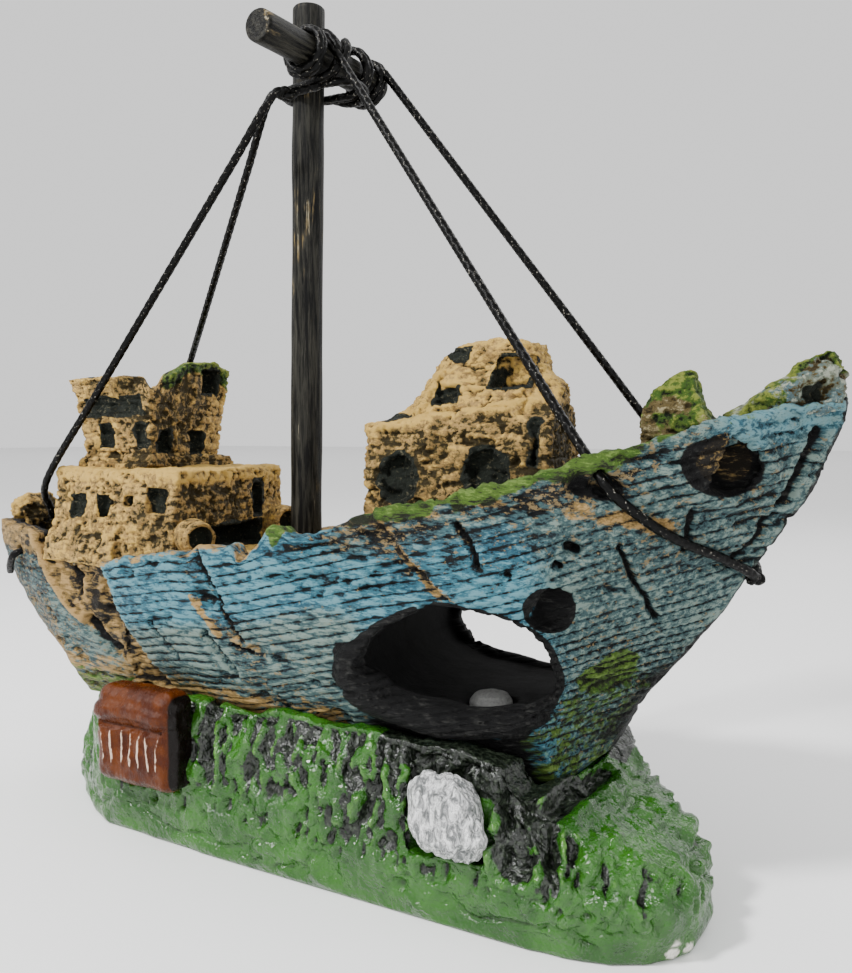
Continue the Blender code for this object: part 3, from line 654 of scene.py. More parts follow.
# Where the blue is worn: start, end, half width and how much
WORN = (
    ((-12.5, 34.5), (-4.5, 24.0), 3.2, 0.9), ((12.6, 40.0), (20.5, 32.6), 3.0, 0.9),
    ((24.0, 38.0), (50.0, 46.0), 5.0, 0.35), ((34.0, 30.0), (46.0, 42.0), 6.0, 0.45),
    ((18.0, 37.0), (40.0, 38.0), 4.0, 0.5), ((-22.0, 20.5), (4.0, 19.0), 3.0, 0.6),
    ((-40.0, 33.0), (-26.0, 19.0), 4.5, 0.55), ((30.0, 43.0), (37.0, 44.6), 2.6, 0.9),
    ((43.5, 49.5), (48.5, 49.0), 2.5, 0.6), ((2.0, 37.0), (11.0, 40.0), 2.0, 0.7),
)
# Where ochre shows through, in the same way
BARE = (
    ((-12.2, 30.6), (-8.6, 26.6), 0.9, 0.6), ((-9.0, 27.6), (-4.0, 25.4), 1.6, 0.4),
    ((33.0, 42.2), (40.0, 40.6), 1.4, 0.5), ((34.0, 37.0), (46.0, 44.0), 4.0, 0.16),
    ((16.0, 37.6), (19.6, 33.6), 0.8, 0.6),
)


def rim_tube(side):
    """The torn lip rolled outwards along the hold's after side and under it."""
    count = 40
    steps = np.linspace(0, len(LIP) - 1, count)
    u, z, thick = (np.interp(steps, range(len(LIP)), LIP[:, i]) for i in range(3))
    x = u + lip_shift(u, side)
    route = [(x[i], side * (float(hull_half(x[i], z[i])) - 0.3), z[i]) for i in range(count)]
    share = 1.0 if side < 0 else 0.5

    def radius_at(i, angle):
        return share * (thick[i] + 0.18 * math.sin(i * 0.9))

    return from_points("rim", *tube(route, radius_at, 12))


def lip_corner():
    """Planking left standing across the hold's upper after corner, on the near side."""
    outline = ((3.6, 25.6), (3.6, 34.4), (18.4, 34.4), (17.4, 31.4), (13.4, 29.8), (10.8, 27.8), (8.6, 25.0))
    rings = [[(x, inset - float(hull_half(x, z)), z) for x, z in outline] for inset in (0.0, 2.2)]
    return from_points("lip_corner", *loft(rings))


def hull_form(p, n):
    """The hull's carved points, and the fields that its paint is laid out by."""
    x, y, z = p.T
    side = np.where(y < 0, -1.0, 1.0)
    rail = hull_lines(x)[2]
    half = hull_half(x, z)
    facing = abs(n[:, 1]) + abs(n[:, 0]) * 0.6
    outer = ramp(-1.9, -1.0, abs(y) - half) * ramp(0.15, 0.45, facing)
    below = rail - z
    face = np.stack([x, side * 60.0, z], 1)
    ragged = layers(face, 3.0, 3, 5)

    # The side panel breaks off in a slant before the stern: behind the break the hull is narrow.
    slant = slope(z, *BREAK) + 0.7 * ragged
    narrow = np.interp(z, (12, 16, 22, 30, 36), (7.6, 10.4, 12.6, 13.6, 13.8))
    behind = ramp(0.4, -0.4, x - slant) * (x > -31.4) * (abs(y) > narrow) * (z > 17)
    p[:, 1] = np.where(behind > 0, side * (abs(y) * (1 - behind) + narrow * behind), y)

    # Boards follow the sheer, and run closer together low down
    crease = slope(z, *CREASE)
    jog = 0.45 * (x > -8.6 + (32 - z) * 0.5) + 0.4 * (x > crease)
    plank = (below + 0.12 * layers(face, 8.0, 2, 11)) / np.interp(below, (0, 14, 26), (1.16, 1.1, 0.95))
    plank += jog + 0.05 * noise(face, 1.6, 3)
    boarded = outer * ramp(0.3, 1.0, below) * ramp(-64.0, -62.0, x)
    boarded *= ramp(0.2, 2.2, abs(y))
    boarded *= 1.0 - 0.75 * ramp(-29.0, -31.0, x)
    boarded *= np.clip(0.75 + 0.6 * layers(face * (0.6, 1, 1), 4.0, 2, 12), 0.15, 1.0)
    seam = abs(plank - np.floor(plank) - 0.5) * 2.0

    worn = 0.5 * layers(face * (0.6, 1, 1), 7.0, 3, 61) + 0.35 * layers(face * (0.4, 1, 1), 1.8, 2, 62)
    worn += marks(x, z, WORN) + 1.1 * ramp(5.5, 1.5, below + ragged) * span(x, 4.0, 10.0, 38.0, 44.0)
    worn = worn * outer + 0.5 * (1.0 - outer)

    lift = 0.30 * layers(p, 9.0, 3, 1)
    lift -= 0.26 * ramp(0.62, 0.95, seam) * boarded
    lift += 0.16 * layers(face * (0.25, 1, 1), 1.3, 3, 21) * outer
    chips = ramp(0.16, 0.42, layers(face * (0.36, 1, 1), 1.7, 3, 41) + 0.14 * (worn - 0.5))
    lift -= 0.5 * chips * outer
    lift -= 0.7 * pits(face * (0.7, 1, 1), 4.2, 0.25, 42) * outer * ramp(0.0, 0.4, worn)

    # The forward panel stands proud along a slanting break
    crease += 0.6 * ragged
    proud = ramp(-0.3, 0.3, x - crease) * ramp(31.0, 34.0, z) * ramp(34.0, 24.0, x)
    lift += 0.9 * proud * outer
    cracked = np.zeros_like(x)
    for start, end, width, depth in GASHES:
        cut = stroke(x + 0.5 * ragged, z, start, end, width)
        lift -= depth * cut * outer
        cracked = np.maximum(cracked, cut * outer)

    # The stern panel between the castle and the break is scooped out and rough
    edge = np.interp(z, (16, 22, 26, 36), (-28.0, -36.4, -41.4, -49.6)) + 0.5 * ragged
    ledge = ramp(1.0, 0.3, abs(x - edge + 0.3)) * outer * ramp(20.0, 25.0, z) * (x < -30)
    scoop = ramp(-0.4, 0.5, x - edge) * ramp(0.6, -0.3, x - slant) * outer * (x < -18)
    lift += 0.5 * ledge - scoop * (0.35 - 0.6 * layers(face, 2.2, 3, 66))

    # A rim stands proud round the hawse recess, and the foredeck's edge is mossy and lumpy
    away = np.hypot(x - HAWSE[0], z - HAWSE[1])
    lift += 0.55 * ramp(1.4, 0.2, abs(away - 3.6)) * outer
    mossy = ramp(3.0, 0.4, below + 1.6 * ragged) * span(x, 8.0, 12.5, 37.0, 42.0)
    mossy += ramp(1.6, 0.8, np.hypot(x - 0.6, below - 0.4) + 0.8 * ragged)
    lift += 0.5 * mossy * outer * (0.6 + 0.7 * layers(p, 1.8, 3, 71))

    top = ramp(2.4, 0.2, below) * (abs(y) > half - 3.4)
    p = p + n * (lift * np.where(top > 0.5, 0.7, 1.0))[:, None]
    along = np.stack([x, np.zeros_like(x), side * 9.0], 1)
    notch = 0.8 * layers(along, 5.0, 3, 77) + 0.35 * layers(along, 1.6, 2, 78)
    notch -= 1.3 * ramp(2.0, 0.0, abs(x + 4.2)) - 0.6 * ramp(3.0, 0.0, abs(x + 10.0))
    notch += 1.1 * ramp(3.0, 0.4, abs(x - 0.4)) - 0.5 * ramp(2.0, 0.0, abs(x - 8.0))
    notch *= np.where((x > 8) & (x < 36), 0.5, 1.0)
    p[:, 2] += notch * top * ramp(-30, -29, x)
    p[:, 2] += 0.45 * layers(p, 1.6, 3, 79) * top
    fields = {"x": x, "y": y, "z": z, "side": side, "half": half, "below": below, "outer": outer}
    fields.update(face=face, ragged=ragged, slant=slant, crease=crease, plank=plank, boarded=boarded)
    fields.update(worn=worn, cracked=cracked, scoop=scoop, ledge=ledge, away=away, mossy=mossy)
    return p, fields


def hull_masks(
    n, x, y, z, side, half, below, outer, face, ragged, slant, crease, plank, boarded, worn, cracked, scoop,
    ledge, away, mossy,
):
    """Where the hull is dark, bare, mossy, worn or drab."""
    # Black: the hold's lip, the cracks, the hawse recess, the porthole, a stroke on the forefoot and the
    # stern room, and painted shade low on the hull, deep under the hold and faint along the forefoot
    ring = hold_share(x, y, z)
    lip = ramp(0.5, 0.0, lip_distance(x, z, side) + 0.5 * ragged) * outer
    filled = (y < 0) & (z - 25.4 > 0.66 * (x - 8.4))  # the corner left standing
    lip = np.maximum(lip, ramp(1.16, 1.06, ring) * (abs(y) > 8) * np.where(filled, 1 - outer, 1.0))
    dark = 1.1 * lip + 0.8 * cracked
    eye = ramp(1.0, 0.3, abs(away - 2.6)) * ramp(50.5, 47.0, z + 0.35 * (x - 45) + 1.5 * ragged)
    in_eye = (abs(y) > half - 9) * (x > 38)
    dark += (0.85 * eye + 0.18 * ramp(2.8, 2.2, away)) * in_eye
    sunk_eye = ramp(2.6, 2.2, away) * in_eye
    small = np.hypot((x - PORTHOLE[0]) * 1.15, z - PORTHOLE[1]) + 0.3 * ragged
    dark += ramp(2.6, 2.2, small) * (abs(y) > 8)
    # Painted shade low on the hull: deep under the hold's lip, faint along the forefoot.
    under = ramp(22.0, 18.5, z + 0.8 * ragged - 0.22 * np.maximum(x - 12, 0)) * ramp(4, 12, x) * outer
    dark += (0.12 + 0.66 * ramp(29.0, 24.0, x)) * under
    dark += 0.42 * stroke(x, z, (32.5, 17.4), (41.5, 28.6), 3.0) * outer
    sunk = (abs(y) < half - 1.3) & (x < -46.5) & (z > 30.5)
    dark = np.where(sunk, 0.9, dark)
    dark += 0.6 * ramp(1.2, 0.3, abs(y)) * (x > 31)

    # Bare ochre: the stern panel, the rail, along the breaks and cracks, and the waist's inside
    tan = np.maximum(scoop, ledge) + 0.45 * ramp(1.2, 0.0, abs(x - slant)) * outer * (x < -20)
    tan += 0.7 * ramp(3.8, 2.4, below + 0.6 * ragged) * (x < -46.0) + 0.2 * (x < -46.0)
    tan += 0.5 * ramp(21.5, 18.0, z) * (x < 5) + 0.45 * ramp(1.0, 0.1, below) * (x < 2)
    tan += 0.42 * ramp(1.6, 0.3, abs(x - crease)) * (z > 32) * (z < 42) * outer
    tan += 0.3 * ramp(4.0, 1.5, below + ragged) * span(x, 5.0, 10.0, 36.0, 42.0)
    tan += marks(x, z, BARE) * outer
    inboard = (abs(y) < half - 1.2) & (n[:, 2] < 0.95)
    tan = np.where((below < 2.8) & inboard & (x < 3), 0.8, tan)

    # Moss: the foredeck's edge, a patch by the hold, the bow's rail, the stern's foot and the forefoot
    moss = 1.1 * mossy + 0.8 * stroke(x, z, (32.6, 24.4), (34.8, 26.6), 2.0) * outer
    moss += 0.45 * ramp(1.3, 0.2, below + 0.8 * ragged) * (x > 40) + 0.6 * ramp(18.5, 16.0, z) * (x < -26)
    moss += 0.35 * ramp(1.2, 0.2, below) * (x > -30) * (x < -3)
    floor = (n[:, 2] > 0.6) & (abs(y) < half - 2.0) & (z > 30)
    tan = np.where(floor & (x > 3), 0.42, tan)
    tan = tan * (1 - sunk_eye) + sunk_eye
    moss = np.where(floor & (x > 3), 0.5, moss) + 0.58 * under + 0.3 * sunk_eye

    # Wear, and where the blue is dull
    worn += 0.7 * under + 2.4 * scoop * ramp(-0.3, 0.3, layers(face, 2.0, 3, 67)) + (x < -46.0)
    worn = worn * (1.0 - 0.8 * ledge) + 2.2 * sunk_eye
    drab = 1.2 * ramp(6.0, 12.0, below) * ramp(16.0, 4.0, x) + 0.4 * ramp(24, 34, x)
    drab += 0.8 * ramp(-29.0, -33.0, x) + 0.45 * ramp(26.0, 34.0, x) * ramp(2.0, 6.0, below)
    drab += 0.7 * ramp(7.0, 2.0, below + ragged) * span(x, 4.0, 10.0, 40.0, 46.0)
    inside = (abs(y) < half - 0.9) & (ring < 1.5)
    smooth_band = ramp(3.4, 2.2, below) * ramp(44.0, 47.0, x)
    masks = {"plank": plank, "tan": tan, "moss": moss, "dark": dark, "drab": drab}
    masks["worn"] = worn - 0.6 * smooth_band
    masks["boarded"] = boarded * (1.0 - smooth_band)
    masks["void"] = inside * ramp(0.6, 1.6, half - abs(y))
    return masks


def hull():
    """The blue ship, with its lip, boards, breaks, cracks and moss."""
    sources = [NODES["hull"].data, rim_tube(-1), rim_tube(1), lip_corner()]
    piece = fused("ship_hull", sources, HULL_VOXEL, 5)
    p, n = skin(piece)
    p, fields = hull_form(p, n)
    finish_skin(piece, p, hull_masks(n, **fields), 3.0)
    settle(piece, hull_paint(), "hull")


def reef():
    """The green rock: tall pits along its flank, crossing strokes at its nose, and painted shade in grey
    under the ship.
    """
    piece = fused("reef_rock", [NODES["reef_base"].data], REEF_VOXEL, 10)
    p, n = skin(piece)
    x, y, z = p.T
    free = ramp(0.1, 1.6, z)
    flank = abs(n[:, 2]) < 0.75
    face = np.stack([x + 0.3 * y, np.where(y < 0, -60.0, 60.0), z], 1)
    lift = 0.7 * layers(p, 8.0, 3, 101) + 0.7 * layers(p, 3.0, 4, 102, 0.5)
    lift -= 0.5 * ramp(0.16, 0.0, abs(layers(p * (0.5, 0.5, 1.0), 4.0, 3, 114))) * ramp(12.0, 7.0, z)
    zone = ramp(5.0, 9.0, z + 2.5 * layers(face, 6.0, 2, 108)) * ramp(46.0, 40.0, x)
    tall = (face + 0.5 * layers(p, 2.0, 2, 110)[:, None]) * (1.0, 1.0, 0.38)
    hole = pits(tall, 2.1, 0.6, 103, (0, 2)) * zone * flank
    hole = np.maximum(hole, 0.8 * pits(tall, 1.3, 0.3, 111, (0, 2)) * ramp(3.0, 6.0, z) * flank)
    ragged = ramp(0.05, 0.35, layers(tall, 1.4, 3, 104)) * ramp(5.0, 11.0, z) * flank
    lift -= 1.2 * hole + 0.6 * ragged * ramp(-40, -16, x)
    slash = abs(layers(np.stack([x + z * 0.6, y * 0.4, z * 0.3], 1), 1.4, 2, 105))
    cross = abs(layers(np.stack([x - z * 0.7, y * 0.4, z * 0.3], 1), 1.6, 2, 112))
    lift += (0.8 * slash + 0.7 * cross) * ramp(24, 32, x) * ramp(1.5, 4.0, z)
    crevice = stroke(x + 0.6 * noise(face, 3.0, 109), z, (27.2, 17.0), (28.6, 7.5), 1.9) * (y < 0)
    crevice = np.maximum(crevice, 0.8 * stroke(x, z, (30.5, 15.0), (31.5, 9.0), 1.2) * (y < 0))
    beside = stroke(x, z, (-12.4, 18.5), (-12.0, 11.5), 1.5) * (y < 0)
    lift -= 1.5 * crevice + 0.8 * beside
    p = p + n * (lift * free)[:, None]
    dark = 0.9 * hole + 0.36 * ragged * ramp(7.0, 12.0, z) + crevice + beside
    # Painted shade in dark grey: on the rock's top where the hull sits on it, and on its far slope under the
    # bow.
    rise = z + 1.6 * layers(face, 3.0, 3, 106)
    rise -= np.interp(x, (6, 12, 26, 30, 33), (30, 15.5, 12.6, 14.0, 18.0))
    dark += 0.9 * ramp(-0.5, 0.8, rise) * (y < 4) * ramp(3.0, 8.0, x)
    ridge = z + 0.8 * layers(face, 2.0, 2, 113) - np.interp(x, (28, 34, 40, 43), (13.6, 11.2, 8.8, 7.2))
    dark += 0.8 * ramp(-0.6, 0.8, ridge) * ramp(26, 30, x) * ramp(1.0, 4.0, y)
    chip = pits(face, 2.6, 0.5, 107) * (x > 38) * (y < -6) * ramp(3.0, 1.8, z)
    finish_skin(piece, p, {"dark": dark, "chip": ramp(0.5, 0.7, chip)}, 2.0)
    settle(piece, reef_paint(), "reef_base")


def rough_cast(name, node, sources, seed, relief, paint_at, paint):
    """A house, rail or stump in rough resin: lumpy, chipped and washed black in its hollows, with grime,
    painted shade on its walls and painted light on its tops.
    """
    piece = fused(name, sources, FINE_VOXEL * (1.4 if node == "main_deck" else 1.0), 3)
    start, n = skin(piece)
    wall = abs(n[:, 2]) < 0.6
    veins = (1.0 - 2.0 * abs(layers(start, 1.8, 3, seed + 6, 0.6))) * wall
    holes = ramp(0.12, 0.4, layers(start * (1, 1, 1.3), 1.5, 3, seed + 2, 0.65)) * np.where(wall, 1.0, 0.35)
    boards = abs(np.sin(math.pi * (start[:, 2] + 0.3 * layers(start, 3.0, 2, seed + 4)) / 1.3))
    lift = 0.35 * layers(start, 5.0, 2, seed + 1) + 0.5 * layers(start, 2.0, 4, seed, 0.65) + 0.3 * veins
    lift -= 0.5 * holes + 0.2 * ramp(0.4, 0.0, boards) * wall
    p = start + n * (lift * relief)[:, None]
    # Grime at random, painted shade on the walls and painted light on the tops, darker in the pits and
    # lighter on the veins.
    grime_light_and_shade = 0.7 * layers(p, 3.0, 3, seed + 5) + np.where(wall, 0.35, -0.6) - 0.5 * veins + 0.5 * holes
    none = np.zeros(len(p))
    here = paint_at(start, n)
    p[:, 2] += here.get("raise", none)
    p += n * here.get("swell", none)[:, None]
    masks = {"grime_light_and_shade": grime_light_and_shade + here.get("extra_dirt_light_and_shade", none)}
    masks.update({mask: here.get(mask, none) for mask in ("moss", "dark")})
    finish_skin(piece, p, masks, 3.0)
    settle(piece, paint, node)


def boxes(p, *rooms):
    """1 inside any of the boxes, whose edges are torn."""
    dark = np.zeros(len(p))
    torn = p + 0.5 * np.stack([layers(p, 1.6, 2, 240 + i) for i in range(3)], 1)
    soft = 0.5
    for low, high in rooms:
        share = np.ones(len(p))
        for i in range(3):
            share *= span(torn[:, i], low[i] - soft, low[i] + soft, high[i] - soft, high[i] + soft)
        dark = np.maximum(dark, share)
    return dark


def lower_cabin(p, n):
    """Doorway and lights of the stern castle's lower storey, with painted shade on its forward face and
    painted light on its top ledge and near corner.
    """
    rooms = [((-28.0, -5.4, 32.0), (-22.0, 7.0, 37.4)), ((-27.0, 4.6, 37.6), (-23.0, 7.8, 43.0))]
    for low, high, sill, head in (
        (-41.9, -38.6, 37.9, 41.2),
        (-36.2, -33.4, 38.3, 41.2),
        (-30.8, -28.9, 39.9, 41.5),
        (-26.8, -22.8, 39.2, 42.4),
    ):
        rooms.append(((low - 0.2, -11.7, sill - 0.2), (high + 0.2, -9.0, head + 0.2)))
        if low < -28:
            rooms.append(((low - 0.2, 9.0, sill - 0.2), (high + 0.2, 11.7, head + 0.2)))
    # Painted shade on the forward face, a darker line round the arch, and painted light along the top ledge
    # and on the near forward corner.
    front = ramp(-26.0, -24.4, p[:, 0]) * ramp(43.4, 42.0, p[:, 2]) * (p[:, 1] < 4.6)
    arch = np.hypot(p[:, 0] + 35.6, p[:, 2] - 32.6)
    arch = ramp(0.5, 0.1, abs(arch - 3.4)) * (p[:, 1] < -9) * (p[:, 2] > 32.6)
    ledge = ramp(42.4, 43.4, p[:, 2] + 0.5 * layers(p, 3.0, 2, 219))
    corner = ramp(2.4, 0.8, np.hypot(p[:, 0] + 25.4, p[:, 1] + 10.2)) * (p[:, 2] > 36)
    grime_light_and_shade = 0.9 * front + 0.8 * arch - 0.7 * np.maximum(ledge, corner)
    return {"dark": boxes(p, *rooms), "extra_dirt_light_and_shade": grime_light_and_shade, "swell": 0.15 * ledge}


def upper_cabin(p, n):
    """Lights of the upper storey, the breach in its top, and moss to port of that."""
    x, y, z = p.T
    rooms = [((-42.6, -8.4, 54.6), (-32.0, -0.8, 60.0)), ((-41.6, -9.6, 51.6), (-30.4, -8.2, 54.4))]
    rooms += [((-34.4, 2.4, 54.2), (-30.9, 7.4, 57.2)), ((-33.0, -6.9, 46.6), (-29.2, -3.6, 50.0))]
    rooms += [((-34.4, 0.7, 46.3), (-30.6, 4.3, 49.8)), ((-39.4, -9.0, 47.3), (-36.2, -7.0, 50.8))]
    rooms += [((-32.6, -9.0, 47.3), (-30.0, -7.0, 50.8)), ((-41.6, 7.0, 47.6), (-38.8, 9.0, 51.8))]
    rooms += [((-37.0, 7.0, 47.6), (-34.2, 9.0, 51.8))]
    across = 0.693 * x + 0.723 * y + 26.2  # athwart the view from the starboard bow, 0 at the breach
    port = ramp(0.6, 2.0, across)
    lump = layers(p, 3.0, 2, 226)
    moss = (1.2 * ramp(55.0, 56.6, z + 1.2 * lump) + 0.6 * ramp(7.6, 9.0, y) * (z > 50)) * port
    # Painted shade on the forward face.
    front = ramp(-34.0, -31.0, x - 0.17 * y) * 0.9
    breach = ramp(1.6, 0.2, abs(across))
    lift = 1.5 * port * ramp(6.0, 1.0, abs(across - 6.4) + 2.0 * lump) - 1.6 * breach
    lift = (lift - 1.5 * ramp(0.0, -1.0, across) * ramp(1.0, 4.0, y)) * ramp(53.0, 56.0, z)
    return {"dark": boxes(p, *rooms), "moss": moss, "extra_dirt_light_and_shade": front, "raise": lift}


def deck_house(p, n):
    """Blind round lights, broken openings and the eaves' ledge of the house before the mast."""
    x, y, z = p.T
    dark = boxes(
        p,
        ((18.8, -7.0, 54.2), (23.4, -1.6, 58.0)),
        ((12.0, -7.0, 52.4), (15.6, -4.4, 54.8)),
        ((25.0, -9.4, 45.6), (26.4, -7.0, 52.0)),
        ((7.0, -9.0, 50.4), (10.0, -5.6, 52.0)),
        ((12.4, -3.6, 57.6), (15.4, -1.6, 59.2)),
    )
    shy = np.zeros(len(p))
    for cx, cz in ((9.4, 44.4), (20.4, 45.2)):
        away = np.hypot(x - cx, z - cz) + 0.3 * noise(p, 1.2, 249)
        dark = np.maximum(dark, ramp(3.3, 2.7, away) * (abs(y) > 7.0))
        shy = np.maximum(shy, ramp(4.6, 3.0, away))
    # Painted shade below the eaves and on the house's forward end, painted light on the eaves' ledge and
    # above the eaves, and darker round the round lights.
    eaves = np.interp(x, (6.0, 12.4, 17.5, 26.3), (50.0, 50.9, 51.6, 53.0)) - 0.25
    ledge = ramp(1.1, 0.2, abs(z - eaves)) * (y < -3) * span(x, 6.2, 8.0, 25.0, 26.0)
    low = ramp(0.2, -0.5, z - eaves)
    tower = ramp(24.4, 25.2, x)
    grime_light_and_shade = 0.4 * low + 0.3 * shy + 0.9 * tower - 0.9 * ledge - 0.45 * (1.0 - low)
    return {"dark": dark, "extra_dirt_light_and_shade": grime_light_and_shade, "swell": 0.55 * ledge}


def plain_cast(p, n):
    """Nothing beyond the casting's own grime and painted light and shade."""
    return {}


def rail_light_and_shade(p, n):
    """Painted shade on the faces that look inboard, painted light along the top."""
    inboard = -n[:, 1] * np.sign(p[:, 1]) + np.where(p[:, 0] < -60, n[:, 0], 0.0)
    return {"extra_dirt_light_and_shade": 1.4 * ramp(0.2, 0.7, inboard) - 0.5 * ramp(0.6, 0.9, n[:, 2])}


def tooth():
    """The broken stump: straight abaft, leaning to the bow, hollow on its fore side."""
    rings = []
    for z, aft, fore, near, far in (
        (47.4, 37.2, 43.0, -8.8, -5.6),
        (50.2, 37.4, 44.4, -9.8, -6.2),
        (51.8, 37.8, 43.1, -9.9, -6.6),
        (53.4, 38.6, 42.6, -9.7, -7.0),
        (54.8, 40.2, 42.5, -9.4, -7.4),
        (55.4, 41.3, 42.3, -9.0, -7.8),
    ):
        rings.append([(aft, near, z), (fore, near, z), (fore, far, z), (aft, far, z)])
    return from_points("tooth", *loft(rings))


def stump_moss(p, n):
    """Moss all over, thicker towards the top."""
    up = ramp(48.0, 55.0, p[:, 2])
    return {"moss": 0.62 + 0.3 * n[:, 2] + 0.8 * layers(p, 2.0, 3, 331) + 0.3 * up, "extra_dirt_light_and_shade": 0.3}


def crest_moss(p, n):
    """Moss along the after half and the very top, and a sunk dark hole to starboard."""
    x, y, z = p.T
    hole = np.hypot(x - 52.0, z - 53.0) + 0.6 * layers(p, 1.6, 2, 336)
    dark = ramp(1.5, 0.9, hole) * (y < 0)
    moss = 0.3 * n[:, 2] + 0.9 * layers(p, 1.8, 3, 331) + 0.7 * ramp(54.4, 55.8, z)
    moss = moss + 0.6 * ramp(52.0, 48.5, x) - 0.05
    return {"moss": moss, "dark": 0.75 * dark, "swell": -0.7 * dark, "extra_dirt_light_and_shade": 0.35}


def cask_form(centre, aim):
    """A small cask lying down, its open end towards aim."""
    aim, up, sides = Vector((*aim, 0.0)).normalized(), Vector((0, 0, 1)), 24
    across = aim.cross(up)
    rings = []
    for along, radius in (
        *((0.0, 0.2), (0.1, 1.6), (0.9, 2.1), (2.2, 2.35), (3.5, 2.2), (4.3, 1.95)),
        *((4.3, 1.5), (3.2, 1.35), (3.1, 0.2)),
    ):
        hub = Vector(centre) + aim * (along - 2.2)
        turns = [math.tau * k / sides for k in range(sides)]
        rings.append([hub + (across * math.cos(turn) + up * math.sin(turn)) * radius for turn in turns])
    return from_points("cask", *loft(rings))


def casks():
    """The two casks at the castle's forward corners, with a hoop's groove each."""
    aim = (0.95, -0.3)
    places = {"deck_cask_starboard": (-18.8, -11.9, 36.5), "deck_cask_port": (-21.6, 8.6, 36.9)}
    for i, (node, centre) in enumerate(places.items()):
        piece = fused(f"cask_{i}", [cask_form(centre, aim)], FINE_VOXEL, 2)
        p, n = skin(piece)
        along = (p - np.array(centre)) @ np.array((*aim, 0.0))
        axis = np.array(centre) + along[:, None] * np.array((*aim, 0.0))
        away = np.linalg.norm(p - axis, axis=1)
        lift = 0.3 * layers(p, 2.0, 4, 261 + i) - 0.25 * ramp(0.3, 0.0, abs(along - 1.0))
        grime_light_and_shade = 0.5 * layers(p, 2.0, 2, 263 + i) + 0.6 * ramp(1.2, 2.0, along)
        dark = ramp(0.5, 0.9, along) * ramp(1.7, 1.4, away)
        masks = {"grime_light_and_shade": grime_light_and_shade, "dark": dark, "moss": np.zeros(len(p))}
        finish_skin(piece, p + n * lift[:, None], masks, 3.0)
        settle(piece, OCHRE_PAINT, node)


def skirt(side):
    """The fillet of resin between the lower cabin's wall and the hull's rail."""
    rings = []
    for x in (-46.0, -40.0, -34.0, -31.4):
        wall = float(np.interp(x, (-46.2, -40.0, -32.0), (10.2, 11.4, 12.2)))
        edge = float(hull_half(x, 33.6)) - 0.3
        section = ((wall + 0.1, 38.6), (edge + 0.2, 34.4), (edge + 0.1, 32.0), (wall - 1.0, 32.0))
        rings.append([(x, side * y, z) for y, z in section])
    return from_points("skirt", *loft(rings))


def bow_rock():
    """Broken planking under the crest, down into the hull."""
    rings = []
    for x, half, low, high in (
        (42.6, 7.6, 49.0, 50.2),
        (46.4, 6.2, 50.0, 52.8),
        (49.4, 5.0, 50.6, 54.2),
        (52.4, 3.2, 51.2, 55.2),
        (54.2, 1.4, 51.8, 54.4),
    ):
        rings.append([(x, half, low), (x, half * 0.6, high), (x, -half * 0.6, high), (x, -half, low)])
    return from_points("bow_rock", *loft(rings))


def cabins():
    """All the pieces in rough resin: the houses, deck and stern rail in ochre, the bow's rails in moss."""
    foot = from_points("foot", *slab((-43.6, -8.9, 43.9), (-30.2, 8.9, 46.2), 0.6))
    stub = from_points("stub", *slab((-65.2, -3.4, 34.0), (-62.0, 4.2, 37.6), 0.4))
    for name, node, extra, seed, relief, paint_at in (
        ("castle_lower", "stern_castle_lower", [skirt(-1), skirt(1)], 201, 0.8, lower_cabin),
        ("castle_upper", "stern_castle_upper", [foot], 221, 0.9, upper_cabin),
        ("deck_house", "deckhouse", [], 241, 1.0, deck_house),
        ("deck_planks", "main_deck", [], 281, 0.5, plain_cast),
        ("stern_rail", "taffrail", [stub], 291, 1.3, rail_light_and_shade),
    ):
        sources = [NODES[node].data, *extra]
        rough_cast(name, node, sources, seed, relief, paint_at, OCHRE_PAINT)
    mossy = ochre_paint("moss_paint", (96, 84, 54), (124, 110, 74), (168, 156, 118))
    rough_cast("mossy_stump", "bow_stump", [tooth()], 301, 0.6, stump_moss, mossy)
    mossy = ochre_paint("crest_paint", (80, 108, 116), (116, 122, 102), (170, 176, 158))
    sources = [NODES["bow_crest"].data, bow_rock()]
    rough_cast("mossy_crest", "bow_crest", sources, 321, 1.2, crest_moss, mossy)


OCHRE_PAINT = ochre_paint("ochre_paint")


def chest():
    """The chest: a barred front below its lid's edge, its keyed corner in shade."""
    piece = fused("chest", [NODES["treasure_chest"].data], FINE_VOXEL, 16)
    p, n = skin(piece)
    p[:, 0] = CHEST_AFT + (p[:, 0] - CHEST_AFT) * 1.13
    x, _, z = p.T
    front = n[:, 1] < -0.3
    lift = 0.3 + 0.4 * layers(p, 3.5, 3, 401) + 0.2 * layers(p * (1, 1, 0.5), 1.1, 3, 402)
    lift += 0.6 * ramp(1.3, 0.3, abs(z - 16.4 + 0.012 * (x - CHEST_X) ** 2)) * front
    lift -= 0.5 * ramp(0.5, 0.1, abs(z - 14.5)) * front * (abs(x - CHEST_X) < 5)
    streak = np.maximum(0, np.sin(x * math.tau / 1.5 + 0.8 * noise(p, 2.0, 403))) ** 2
    low = span(z, 9.0, 10.4, 13.4, 14.6) * ramp(5.6, 4.0, abs(x - CHEST_X))
    lift += 0.3 * low * streak * front
    lift *= ramp(7.0, 8.2, z) * 0.7 + 0.3
    shade = ramp(-15.6, -14.6, x) * ramp(0.3, 0.7, n[:, 0])
    finish_skin(piece, p + n * lift[:, None], {"glint": low * streak * front, "shade": shade}, 2.6)
    settle(piece, chest_paint(), "treasure_chest")


